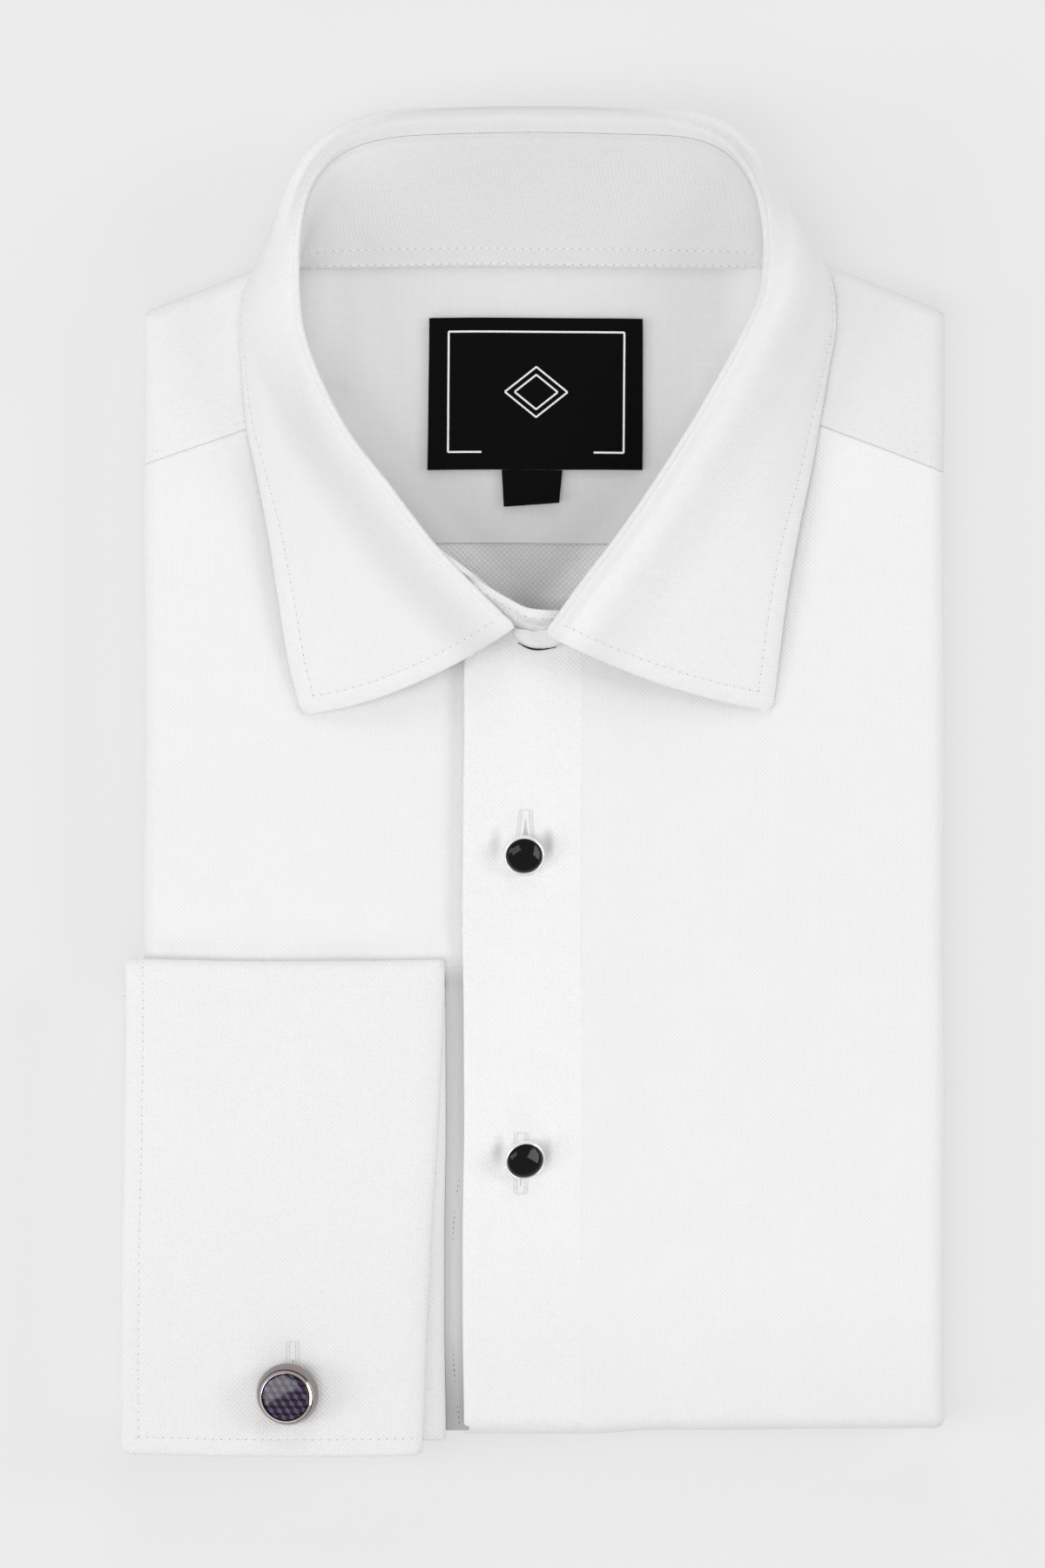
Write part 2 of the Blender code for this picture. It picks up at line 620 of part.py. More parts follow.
def main():
    clear_scene()
    make_folded_layers()
    make_right_side()
    make_left_side()
    make_placket()
    make_neck_inside()
    make_collar_band()
    make_collar_fall()
    make_cuff()
    make_sleeve()
    make_studs()
    make_cufflink()


main()
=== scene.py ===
"""Folded evening shirt with a double cuff, laid out as an add-on: cloth, stitching, trim and stage."""

import math
from collections import namedtuple

import bmesh
import bpy
import numpy as np
from bpy.props import FloatProperty, FloatVectorProperty, PointerProperty
from mathutils import Matrix, Vector


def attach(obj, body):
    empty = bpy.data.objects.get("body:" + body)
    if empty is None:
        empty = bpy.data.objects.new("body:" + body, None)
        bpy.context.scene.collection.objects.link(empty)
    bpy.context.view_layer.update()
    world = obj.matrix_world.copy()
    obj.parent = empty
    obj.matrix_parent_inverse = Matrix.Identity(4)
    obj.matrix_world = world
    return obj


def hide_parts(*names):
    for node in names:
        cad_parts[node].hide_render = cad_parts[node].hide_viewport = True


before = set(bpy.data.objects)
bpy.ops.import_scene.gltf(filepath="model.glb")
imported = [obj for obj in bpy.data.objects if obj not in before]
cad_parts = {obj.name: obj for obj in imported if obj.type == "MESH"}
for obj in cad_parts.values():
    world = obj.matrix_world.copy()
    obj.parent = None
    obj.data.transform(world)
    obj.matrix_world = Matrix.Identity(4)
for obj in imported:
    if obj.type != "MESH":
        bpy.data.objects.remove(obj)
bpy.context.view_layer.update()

bl_info = {
    "name": "Folded Evening Shirt",
    "version": (1, 0, 0),
    "blender": (4, 5, 0),
    "location": "3D View > Sidebar > Shirt",
    "description": "Makes a folded evening shirt with studs, a linked double cuff and its stage",
    "category": "Add Mesh",
}

MM = 0.001

# Body, in millimetres. "Right" and "left" are the wearer's, so the right front is on the -X side.
SIDE_RIGHT, SIDE_LEFT = -111.75, 118.25
HEM_FOLD = -186.4
SHOULDER_RIGHT = ((-111.75, 134.6), (-80.25, 147.0))
SHOULDER_LEFT = ((118.25, 134.5), (83.6, 148.6))
CORNER_RADIUS, LEAST_CORNER = 3.0, 0.2
CORNER_STEPS = 8
YOKE_SEAM_RIGHT = ((-111.75, 90.4), (-60.5, 109.0))
YOKE_SEAM_LEFT = ((118.25, 88.2), (55.5, 112.2))
YOKE_NECK_RIGHT, YOKE_NECK_LEFT = -69.0, 68.0
NECK_FRONT = 44.0
CLOTH = 1.2
GAP = 0.3
SEAM_GAP = 0.07
CORE_TOP = 19.0
PANEL_TOP = 20.5
PLACKET_TOP = 22.0
FOLD_RADIUS = 4.6
FOLD_LIP = 5.0
FOLD_STEPS = 14
SEAM_START = FOLD_RADIUS + 1.0
PLACKET_X = (-20.0, 13.75)
PLACKET_END = 43.0
PLACKET_SWEEP = math.radians(150)
FRONTS_MEET = -3.0
LINING_END = 67.9
NECK_BACK = 146.6
LINING_BACK = 147.9
TOPSTITCH_LIFT = 2.5
EDGE_STITCH = 5.0

# Hidden layers: each is a round lobe at the edge, and the groove over the middle one takes the fold lips
Lobe = namedtuple("Lobe", "bottom top inset")
BOTTOM_LOBE, MIDDLE_LOBE = Lobe(0.0, 5.3, 0.9), Lobe(5.7, 11.0, 0.6)
TOP_LOBE = Lobe(12.8, CORE_TOP - 2.3, 1.5)
CREASE_INSET = 3.2
GROOVE_INSET = FOLD_RADIUS + FOLD_LIP + 0.8

# Collar. Each row is one section: the fold line, the handle that bends the fall outwards, and its edge.
COLLAR_HALF = 0.8
SEAM_OUT, SEAM_OUT_LEFT = 2.2, 3.4
SEAM_HEIGHT = 21.3
SEAM_Y = 147.2
TIP_FLAP, CORNER_FLAP, BACK_FLAP = 1.5, 1.9, 5.2
Leaf = namedtuple("Leaf", "roll handle edge")
RIGHT_LEAF = (
    Leaf((-5.2, 43.4, 33.5), (-36.0, 22.4, 28.0), (-66.6, 19.0, 21.5)),
    Leaf((-15.5, 53.6, 34.5), (-43.0, 38.0, 29.5), (-70.2, 34.0, 22.0)),
    Leaf((-28.6, 67.5, 36.0), (-50.0, 57.0, 31.5), (-73.0, 52.0, 22.5)),
    Leaf((-41.5, 84.5, 38.5), (-58.0, 77.0, 35.0), (-75.8, 71.0, 22.2)),
    Leaf((-52.6, 98.6, 41.0), (-66.0, 94.0, 38.5), (-79.2, 87.5, 21.2)),
    Leaf((-60.8, 113.8, 43.0), (-72.0, 110.0, 41.5), (-82.4, 102.0, 21.2)),
    Leaf((-66.0, 128.6, 44.5), (-76.5, 126.0, 44.0), (-83.6, 117.0, 20.85)),
    Leaf((-67.3, 142.0, 45.0), (-79.0, 141.0, 45.0), (-84.3, 132.0, 20.85)),
)
LEFT_LEAF = (
    Leaf((3.6, 41.4, 33.5), (34.0, 26.0, 28.0), (68.6, 19.8, 21.5)),
    Leaf((13.5, 55.3, 34.5), (42.0, 41.0, 29.5), (70.6, 35.0, 22.0)),
    Leaf((24.0, 69.2, 36.0), (49.0, 60.0, 31.5), (73.0, 53.0, 22.5)),
    Leaf((34.5, 84.3, 38.5), (56.0, 78.0, 35.0), (76.2, 70.0, 22.2)),
    Leaf((43.5, 98.6, 41.0), (63.0, 94.0, 38.5), (79.8, 87.5, 21.2)),
    Leaf((51.6, 112.5, 43.0), (69.0, 110.0, 41.5), (82.4, 103.0, 21.2)),
    Leaf((59.3, 126.5, 44.5), (75.0, 125.0, 44.0), (84.6, 117.0, 20.85)),
    Leaf((65.4, 140.5, 45.0), (80.0, 140.0, 45.0), (86.6, 132.0, 20.85)),
)
Back = namedtuple("Back", "seam_x roll handle edge")
COLLAR_BACK = (
    Back(-68.4, (-67.2, 153.0, 44.5), (-77.0, 153.5, 42.0), (-79.8, 148.2, 20.8)),
    Back(-66.0, (-66.2, 163.0, 43.0), (-74.5, 165.0, 36.0), (-72.0, 156.5, 13.0)),
    Back(-60.0, (-61.5, 176.5, 41.0), (-73.5, 180.0, 33.0), (-64.0, 166.0, 6.5)),
    Back(-49.0, (-51.0, 185.0, 39.5), (-60.0, 194.5, 29.0), (-51.0, 170.0, 2.5)),
    Back(-37.0, (-42.0, 188.6, 38.5), (-44.0, 197.5, 27.0), (-40.0, 171.0, 1.2)),
    Back(0.0, (0.0, 189.8, 38.0), (0.0, 198.0, 26.0), (0.0, 171.0, 1.0)),
    Back(38.0, (44.0, 189.0, 38.5), (46.0, 198.0, 27.0), (42.0, 171.0, 1.2)),
    Back(50.0, (53.0, 185.5, 39.5), (62.0, 195.0, 29.0), (53.0, 170.0, 2.5)),
    Back(60.0, (61.5, 176.5, 41.0), (71.0, 180.0, 33.0), (64.0, 166.0, 6.5)),
    Back(65.5, (66.1, 163.5, 43.0), (77.0, 166.0, 37.0), (75.0, 157.5, 13.0)),
    Back(67.6, (66.6, 153.0, 44.5), (79.0, 154.5, 42.0), (84.0, 150.2, 20.8)),
)
# The two ends of the band, which cross at the front: the seam and the upper edge of each section
BandEnd = namedtuple("BandEnd", "seam top")
UNDER_END = (
    BandEnd((-19.5, 55.0, 26.0), (-14.5, 56.6, 32.7)),
    BandEnd((-9.5, 47.0, 26.5), (-6.5, 51.6, 31.6)),
    BandEnd((0.5, 42.6, 25.0), (-0.7, 49.0, 30.8)),
    BandEnd((8.3, 43.2, 23.8), (8.6, 48.4, 29.6)),
)
OVER_END = (
    BandEnd((-5.6, 42.4, 26.5), (-5.4, 43.5, 28.6)),
    BandEnd((-2.6, 39.9, 24.5), (-2.0, 43.1, 28.8)),
    BandEnd((1.0, 38.7, 23.6), (1.2, 42.8, 28.6)),
    BandEnd((9.0, 40.6, 23.2), (10.0, 45.0, 28.2)),
)

# Double cuff and sleeve
CUFF_HALF = 1.2
CUFF_TOP_LEVEL, CUFF_UNDER_LEVEL = 24.9, 22.05
CUFF_END = -193.25
CUFF_FOLD = -51.2
CUFF_FREE_EDGE = (-116.6, -118.25)
CUFF_TURNED_EDGE = (-25.2, -32.2)
CUFF_LIP = 3.0
UNDER_X, UNDER_Y = (-114.0, -25.2), (-189.4, -59.2)
SLEEVE_Y = (-184.0, -62.0)
SLEEVE_HALF = 0.6
SLEEVE_BENDS = (
    (-115.0, 22.2), (-116.2, 20.6), (-117.0, 16.0), (-117.2, 10.5), (-116.6, 5.0), (-115.0, 1.6),
    (-112.6, 0.8),
)

# Slow waves of the whole shirt, and creases listed one by one. Lengths and heights in millimetres.
Wave = namedtuple("Wave", "length heading phase height")
WAVES = (
    Wave(118.0, 20.0, 0.4, 0.22), Wave(64.0, 78.0, 1.9, 0.15), Wave(47.0, 140.0, 3.1, 0.09),
    Wave(81.0, 105.0, 5.0, 0.14),
)
Crease = namedtuple("Crease", "x y heading length width height")
CREASES = (
    Crease(-66.0, -8.0, 62.0, 46.0, 9.0, -0.35),
    Crease(-52.0, 2.0, 75.0, 38.0, 7.0, 0.22),
    Crease(-96.0, 40.0, 84.0, 60.0, 10.0, 0.25),
    Crease(30.0, 8.0, 96.0, 60.0, 8.0, -0.30),
    Crease(62.0, -62.0, 80.0, 90.0, 14.0, 0.30),
    Crease(92.0, -120.0, 100.0, 70.0, 11.0, -0.28),
    Crease(46.0, -150.0, 70.0, 60.0, 12.0, 0.24),
    Crease(96.0, 62.0, 70.0, 46.0, 9.0, -0.28),
    Crease(-4.0, 20.0, 20.0, 16.0, 5.0, -0.22),
    Crease(2.0, -62.0, 88.0, 50.0, 7.0, 0.14),
    Crease(-98.0, 112.0, 35.0, 26.0, 7.0, 0.25),
    Crease(102.0, 110.0, 150.0, 26.0, 7.0, 0.25),
)
# How far edges wander sideways, slowly and quickly, and the height up to which all of it comes in
WANDER, SHIVER = 0.22, 0.04
SETTLED_FROM, SETTLED_UP_TO = 0.0, 19.0


def eased(values, low, high):
    """0 below low, 1 above high, and smooth between them."""
    share = np.clip((np.asarray(values, float) - low) / (high - low), 0, 1)
    return share * share * (3 - 2 * share)


def settle(points):
    """The points moved by the waves and creases that every layer of the shirt shares."""
    points = np.array(points, float)
    x, y, z = points[..., 0].copy(), points[..., 1].copy(), points[..., 2].copy()
    lift = np.zeros_like(x)
    for wave in WAVES:
        angle = math.radians(wave.heading)
        along = x * math.cos(angle) + y * math.sin(angle)
        lift += wave.height * np.sin(2 * math.pi * along / wave.length + wave.phase)
    for crease in CREASES:
        angle = math.radians(crease.heading)
        along = (x - crease.x) * math.cos(angle) + (y - crease.y) * math.sin(angle)
        across = (y - crease.y) * math.cos(angle) - (x - crease.x) * math.sin(angle)
        across += 2.0 * np.sin(along / crease.length * 4.0)
        shape = np.exp(-((across / crease.width) ** 2) - (1.4 * along / crease.length) ** 2)
        lift += crease.height * shape
    rise = eased(z, SETTLED_FROM, SETTLED_UP_TO)
    points[..., 2] = z + lift * rise
    points[..., 0] = x + rise * (WANDER * np.sin(y / 17.0 + 0.6) + SHIVER * np.sin(y / 6.3 + z / 4.0))
    points[..., 1] = y + rise * (WANDER * np.sin(x / 19.0 + 2.1) + SHIVER * np.sin(x / 7.1 + z / 5.0))
    return points


def piece(name, points, faces, cloth, material, slot, stands_for=(), settled=True):
    """A shown piece of the shirt from points in millimetres, riding on the body with the CAD nodes hidden."""
    placed = settle(points) if settled else np.asarray(points, float)
    mesh = bpy.data.meshes.new(name)
    mesh.from_pydata((placed.reshape(-1, 3) * MM).tolist(), [], faces)
    if cloth is not None:
        flat = mesh.attributes.new("cloth", "FLOAT_VECTOR", "POINT")
        flat.data.foreach_set("vector", np.asarray(cloth, np.float32).ravel())
    return finished(bpy.data.objects.new(name, mesh), material, stands_for)


def finished(made, material, stands_for=()):
    """The object with outward faces, smooth shading, its material and its place in the frame."""
    mesh = made.data
    shape = bmesh.new()
    shape.from_mesh(mesh)
    bmesh.ops.recalc_face_normals(shape, faces=shape.faces)
    shape.to_mesh(mesh)
    shape.free()
    mesh.shade_smooth()
    mesh.set_sharp_from_angle(angle=math.radians(50))
    for one in material if isinstance(material, (list, tuple)) else [material]:
        mesh.materials.append(one)
    bpy.context.scene.collection.objects.link(made)
    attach(made, "root")
    for node in stands_for:
        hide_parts(node)
    return made


# Cloth from a grid of points


def smoothed(grid, steps):
    """The grid with steps points for each one along its first axis, on smooth curves through them."""
    grid = np.asarray(grid, float)
    ends = np.concatenate([2 * grid[:1] - grid[1:2], grid, 2 * grid[-1:] - grid[-2:-1]])
    rows = []
    for k in range(len(grid) - 1):
        before, a, b, after = ends[k : k + 4]
        for step in range(steps):
            t = step / steps
            pull = (b - before) * t + (2 * before - 5 * a + 4 * b - after) * t * t
            pull = pull + (3 * a - before - 3 * b + after) * t * t * t
            rows.append(a + pull / 2)
    rows.append(grid[-1])
    return np.array(rows)


FINE = (0.0, 0.07, 0.2, 0.4, 0.65, 1.0, 1.5, 2.3, 3.3, 4.1, 4.5, 4.75, 5.0, 5.25, 5.5, 5.9, 6.6, 7.6)


def places(length, count, start=FINE, end=FINE):
    """Distances along a line of this length: close together at its ends, and count even steps between."""
    first, last = start[-1], length - end[-1]
    even = first + (last - first) * np.arange(1, count) / count
    return np.concatenate([np.array(start), even, length - np.array(end[::-1])])


def measured(line):
    """How far along the line each of its points is."""
    return np.concatenate([[0.0], np.cumsum(np.linalg.norm(np.diff(line, axis=0), axis=1))])


def sampled(line, reached, at):
    """The line's points at these distances along it."""
    return np.stack([np.interp(at, reached, line[:, k]) for k in range(3)], axis=-1)


def blurred(line, reached, at, blur, steps):
    """The line's points at these distances, each the mean of those within blur to both sides."""
    window = at[:, None] + blur[:, None] * np.linspace(-1, 1, steps)[None]
    return np.stack([np.interp(window, reached, line[:, k]).mean(axis=1) for k in range(3)], axis=1)


def spread(grid, count, start=FINE, end=FINE):
    """The grid with each line along its first axis cut anew at places()."""
    lines = []
    for line in np.asarray(grid, float).transpose(1, 0, 2):
        reached = measured(line)
        lines.append(sampled(line, reached, places(reached[-1], count, start, end)))
    return np.stack(lines, axis=1)


def reach(grid):
    """Distances along the first axis of the grid, from its start and from its end."""
    steps = np.linalg.norm(np.diff(grid, axis=0), axis=2)
    run = np.concatenate([np.zeros((1, grid.shape[1])), np.cumsum(steps, axis=0)])
    return run, run[-1:] - run


def reach_across(grid):
    """Distances along the second axis of the grid, from its start and from its end."""
    start, end = reach(grid.transpose(1, 0, 2))
    return start.T, end.T


def softened(grid, window, share):
    """The grid averaged along its first axis over window to each side, where share is 1 and not where 0."""
    lines = []
    for line in grid.transpose(1, 0, 2):
        reached = measured(line)
        blur = np.minimum(window * share(line), np.minimum(reached, reached[-1] - reached))
        lines.append(blurred(line, reached, reached, blur, 25))
    return np.stack(lines, axis=1)


def at_back(line):
    """1 behind the shoulders, where the collar bends round the back of the neck, and 0 in front."""
    return eased(line[:, 1], 128.0, 150.0)


def facing(grid):
    """Unit normals of the grid."""
    down, along = np.gradient(grid, axis=0), np.gradient(grid, axis=1)
    normal = np.cross(down, along)
    return normal / np.maximum(np.linalg.norm(normal, axis=2, keepdims=True), 1e-9)


def blunted(grid, along_first, along_second, radius):
    """The grid with the corner where both distances are 0 rounded off."""
    first, second = radius - along_first, radius - along_second
    inside = (first > 0) & (second > 0)
    far = np.maximum(first, second)
    share = np.where(inside, far / np.maximum(np.hypot(first, second), 1e-9), 1.0)
    out = []
    for axis in (0, 1):
        step = np.gradient(grid, axis=axis)
        out.append(step / np.maximum(np.linalg.norm(step, axis=2, keepdims=True), 1e-9))
    move_first, move_second = first * (1 - share), second * (1 - share)
    sign_first = 1 if along_first[0, 0] < along_first[-1, 0] else -1
    sign_second = 1 if along_second[0, 0] < along_second[0, -1] else -1
    moved = grid + out[0] * (sign_first * move_first * inside)[..., None]
    return moved + out[1] * (sign_second * move_second * inside)[..., None]


def on_cloth(first, second):
    """Places on the flat cloth from distances along it both ways."""
    return np.stack([first, second, np.zeros_like(second)], axis=-1)


def level_grid(x, y, height, columns, rows, fine):
    """A level rectangle of points that lie close together at its edges.

    Also how near each is to an edge, and how far it is from the left and from the lower one.
    """
    start = FINE[:fine]
    xs, ys = places(x[1] - x[0], columns, start, start), places(y[1] - y[0], rows, start, start)
    across, up = np.meshgrid(xs, ys)
    near = np.minimum(np.minimum(across, xs[-1] - across), np.minimum(up, ys[-1] - up))
    return np.stack([across + x[0], up + y[0], np.full_like(up, height)], axis=-1), near, across, up


Sheet = namedtuple("Sheet", "made face up")
# A row of stitches draws the cloth in along it, and the cloth swells between it and the edge
SEWN_DIP, SEWN_DIP_WIDTH = 0.17, 0.55
SEWN_SWELL, SEWN_SWELL_WIDTH = 0.07, 1.3


def shell(name, grid, near, half, look, stands_for=(), sewn=None, sewn_at=EDGE_STITCH, cloth=None,
          bevel=1.3, edge=0.5):
    """A thin shell about a grid of points, round along its open edges and drawn in along its stitching.

    near is the distance of each point from the nearest open edge, and sewn that from the nearest sewn one.
    bevel is how many times half it thins over from an open edge, and edge says how it does: 0.5 is round.
    The sheet's face is its side that looks up.
    """
    normal = facing(grid)
    share = np.clip(1 - near / (half * bevel), 0, 1)
    depth = half * np.clip(1 - share * share, 0.004, 1) ** edge
    if sewn is not None:
        depth = depth - SEWN_DIP * np.exp(-(((sewn - sewn_at) / SEWN_DIP_WIDTH) ** 2))
        depth = depth + SEWN_SWELL * np.exp(-(((sewn - sewn_at / 2) / SEWN_SWELL_WIDTH) ** 2))
    upper = grid + normal * depth[..., None]
    lower = grid - normal * depth[..., None]
    tall, wide = near.shape
    count = tall * wide
    index = np.arange(count).reshape(tall, wide)
    a, b, c, d = index[:-1, :-1], index[1:, :-1], index[1:, 1:], index[:-1, 1:]
    top = np.stack([a, b, c, d], axis=-1).reshape(-1, 4)
    bottom = np.stack([a, d, c, b], axis=-1).reshape(-1, 4) + count
    border = np.concatenate([index[0], index[1:, -1], index[-1, -2::-1], index[-2:0:-1, 0]])
    after = np.roll(border, -1)
    rim = np.stack([border, after, after + count, border + count], axis=-1)
    faces = np.concatenate([top, bottom, rim]).tolist()
    if cloth is None:
        run, _ = reach(grid)
        side, _ = reach(grid.transpose(1, 0, 2))
        cloth = on_cloth(side.T, run)
    points = np.concatenate([upper.reshape(-1, 3), lower.reshape(-1, 3)])
    flat = np.concatenate([cloth.reshape(-1, 3), cloth.reshape(-1, 3)])
    made = piece(name, points, faces, flat, *look, stands_for)
    upward = normal[..., 2].mean() > 0
    return Sheet(made, settle(upper if upward else lower), normal if upward else -normal)


def line_at(values, distance, value):
    """The line over the grid's first axis on which distance, which grows along that axis, has this value."""
    return np.array([sampled(values[:, j], distance[:, j], value) for j in range(values.shape[1])])


# Panels with a folded edge


def turned_right(direction):
    return Vector((direction.y, -direction.x))


def loop_at(corners, inset, closed):
    """The outline through these corners, anticlockwise, moved inwards, with each corner rounded."""
    corners = [Vector(corner) for corner in corners]
    count = len(corners)
    points = []
    for i, corner in enumerate(corners):
        if not closed and i in (0, count - 1):
            other = corners[1] if i == 0 else corners[-2]
            along = (other - corner if i == 0 else corner - other).normalized()
            points.append(corner - turned_right(along) * inset)
            continue
        arriving = (corner - corners[i - 1]).normalized()
        leaving = (corners[(i + 1) % count] - corner).normalized()
        bend = max(CORNER_RADIUS - inset, LEAST_CORNER)
        inward = -(turned_right(arriving) + turned_right(leaving)).normalized()
        share = inward.dot(-turned_right(arriving))
        centre = corner + inward * ((inset + bend) / share)
        start = turned_right(arriving)
        turn = start.angle_signed(turned_right(leaving))
        for k in range(CORNER_STEPS + 1):
            spoke = start.copy()
            spoke.rotate(Matrix.Rotation(-turn * k / CORNER_STEPS, 2))
            points.append(centre + spoke * bend)
    return points


def unfolded(points, path, top, radius):
    """Where each point of a folded panel lies on the flat cloth, so that the weave runs over its edge."""
    points = np.asarray(points, float)
    best = np.full(len(points), -1e9)
    flat = points * (1, 1, 0)
    angle_all = np.arctan2(0.0, points[:, 2] - (top - radius))
    for a, b in zip(path, path[1:]):
        out = turned_right((Vector(b) - Vector(a)).normalized())
        beyond = (points[:, 0] - a[0]) * out.x + (points[:, 1] - a[1]) * out.y + radius
        angle = np.arctan2(np.maximum(beyond, 0), points[:, 2] - (top - radius))
        run = radius * angle + np.where((beyond < 0) & (angle_all > 1), -beyond, 0)
        here = (beyond > best) & ((beyond > 0) | (angle > 1))
        move = (run - beyond)[:, None] * np.array([[out.x, out.y, 0.0]])
        flat = np.where(here[:, None], points * (1, 1, 0) + move, flat)
        best = np.where(here, beyond, best)
    return flat


DICE, DICE_OFF = 3.0, 0.013


def diced(shape):
    """Cuts the mesh along even planes across X and Y, so that it can take soft forms."""
    for axis in (0, 1):
        values = [vertex.co[axis] for vertex in shape.verts]
        low, high = min(values), max(values)
        count = max(int((high - low) / DICE), 1)
        normal = Vector((1, 0, 0)) if axis == 0 else Vector((0, 1, 0))
        for k in range(1, count):
            place = Vector((0, 0, 0))
            place[axis] = low + (high - low) * k / count + DICE_OFF
            whole = shape.verts[:] + shape.edges[:] + shape.faces[:]
            bmesh.ops.bisect_plane(shape, geom=whole, plane_co=place, plane_no=normal, dist=1e-4)


def panel(node, points, faces, flatten, material, slot, soft=(), raised=None):
    """A panel from a coarse mesh: soft edges rounded, diced, raised where it rides over another, settled."""
    shape = bmesh.new()
    made = [shape.verts.new(point) for point in points]
    for face in faces:
        shape.faces.new([made[k] for k in face])
    number = {vertex: k for k, vertex in enumerate(made)}
    rounded = [edge for edge in shape.edges if {number[vertex] for vertex in edge.verts} <= set(soft)]
    rounded = [edge for edge in rounded if abs(edge.verts[0].co.z - edge.verts[1].co.z) < 1e-6]
    rounded = [edge for edge in rounded if edge.calc_face_angle(0.0) > 0.8]
    if rounded:
        bmesh.ops.bevel(shape, geom=rounded, offset=0.4, segments=3, affect="EDGES", profile=0.5)
    diced(shape)
    shape.verts.index_update()
    places_now = np.array([vertex.co[:] for vertex in shape.verts])
    polygons = [[vertex.index for vertex in face.verts] for face in shape.faces]
    shape.free()
    flat = flatten(places_now)
    if raised:
        places_now = raised(places_now)
    return piece(f"{node}_cloth", places_now, polygons, flat, material, slot, [node])


def folded_panel(node, path, rest, material, slot, raised=None, soft=True, slopes=(0, 0)):
    """A flat panel whose outer edge, along path, is folded under. rest closes its outline.

    slopes say how fast its two ends climb away from the folded edge.
    """
    steps, top, radius, lip = FOLD_STEPS, PANEL_TOP, FOLD_RADIUS, FOLD_LIP
    outer = [(radius + lip, top - 2 * radius)]
    inner = [(radius + lip, top - 2 * radius + CLOTH)]
    for k in range(steps + 1):
        angle = math.pi * (1 - k / steps)
        for rows, spoke in ((outer, radius), (inner, radius - CLOTH)):
            rows.append((radius - spoke * math.sin(angle), top - radius + spoke * math.cos(angle)))
    points, faces, rings = [], [], []
    for rows in (outer, inner):
        for inset, height in rows:
            loop = loop_at(path, inset, False)
            loop[0] = loop[0] + Vector((0, slopes[0] * inset))
            loop[-1] = loop[-1] + Vector((0, slopes[1] * inset))
            rings.append([len(points) + k for k in range(len(loop))])
            points += [(*point, height) for point in loop]
    half, width = len(outer), len(rings[0])
    for side in (rings[:half], rings[half:]):
        for low, high in zip(side, side[1:]):
            faces += [(low[k], low[k + 1], high[k + 1], high[k]) for k in range(width - 1)]
    for k in range(width - 1):
        faces.append((rings[0][k], rings[0][k + 1], rings[half][k + 1], rings[half][k]))
    for j in range(half - 1):
        for end in (0, width - 1):
            faces.append((rings[j][end], rings[j + 1][end], rings[half + j + 1][end], rings[half + j][end]))
    upper, lower = list(rings[half - 1]), list(rings[-1])
    for point in rest:
        upper.append(len(points))
        points.append((*point, top))
        lower.append(len(points))
        points.append((*point, top - CLOTH))
    faces += [tuple(upper), tuple(reversed(lower))]
    for k in range(width - 1, len(upper)):
        after = (k + 1) % len(upper)
        faces.append((upper[k], upper[after], lower[after], lower[k]))
    soft = set(upper[width - 1 :]) | {upper[0]} if soft else ()

    def flatten(places_now):
        return unfolded(places_now, path, top, radius)

    return panel(node, points, faces, flatten, material, slot, soft, raised)


def flat_panel(node, outline, bottom, top, material, slot, soft=True):
    """A flat panel with no fold, from its outline."""
    count = len(outline)
    points = [(*point, bottom) for point in outline] + [(*point, top) for point in outline]
    faces = [tuple(range(count)), tuple(range(count, 2 * count))]
    faces += [(k, (k + 1) % count, count + (k + 1) % count, count + k) for k in range(count)]
    edges = set(range(count, 2 * count)) if soft else ()
    return panel(node, points, faces, lambda now: now * (1, 1, 0), material, slot, edges)


# Threads


CAPSULE = ((-1.0, 0.22, -0.9), (-0.82, 0.75, -0.35), (-0.35, 1.0, 0.0), (0.35, 1.0, 0.0), (0.82, 0.75, -0.35),
           (1.0, 0.22, -0.9))
CAPSULE_SIDES = 6
Threads = namedtuple("Threads", "centres along up half radius tone")


def thread_mesh(name, groups, materials, slot):
    """Every thread of these groups as one joined mesh. tone is the place of its material in materials."""
    points, faces, tones = [], [], []
    start = 0
    rings, sides = len(CAPSULE), CAPSULE_SIDES
    for group in groups:
        along = group.along / np.linalg.norm(group.along, axis=1, keepdims=True)
        across = np.cross(group.up, along)
        across /= np.maximum(np.linalg.norm(across, axis=1, keepdims=True), 1e-9)
        up = np.cross(along, across)
        count = len(group.centres)
        made = np.zeros((count, rings, sides, 3))
        for j, (place, girth, depth) in enumerate(CAPSULE):
            for k in range(sides):
                angle = 2 * math.pi * k / sides
                side = girth * group.radius * math.cos(angle)
                high = girth * group.radius * math.sin(angle) * 0.8 + depth * group.radius
                made[:, j, k] = group.centres + along * (place * group.half) + across * side + up * high
        points.append(made.reshape(-1, 3))
        pattern = []
        for j in range(rings - 1):
            for k in range(sides):
                after = (k + 1) % sides
                row, above = j * sides, (j + 1) * sides
                pattern.append((row + k, row + after, above + after, above + k))
        pattern.append(tuple(range(sides)))
        pattern.append(tuple(range((rings - 1) * sides, rings * sides)))
        for n in range(count):
            shift = start + n * rings * sides
            faces += [[k + shift for k in face] for face in pattern]
            tones += [group.tone] * len(pattern)
        start += count * rings * sides
    made = piece(name, np.concatenate(points), faces, None, materials, slot, settled=False)
    made.data.polygons.foreach_set("material_index", tones)
    return made


STITCH_REACH, HOLE_LIFT = 0.6, 0.02


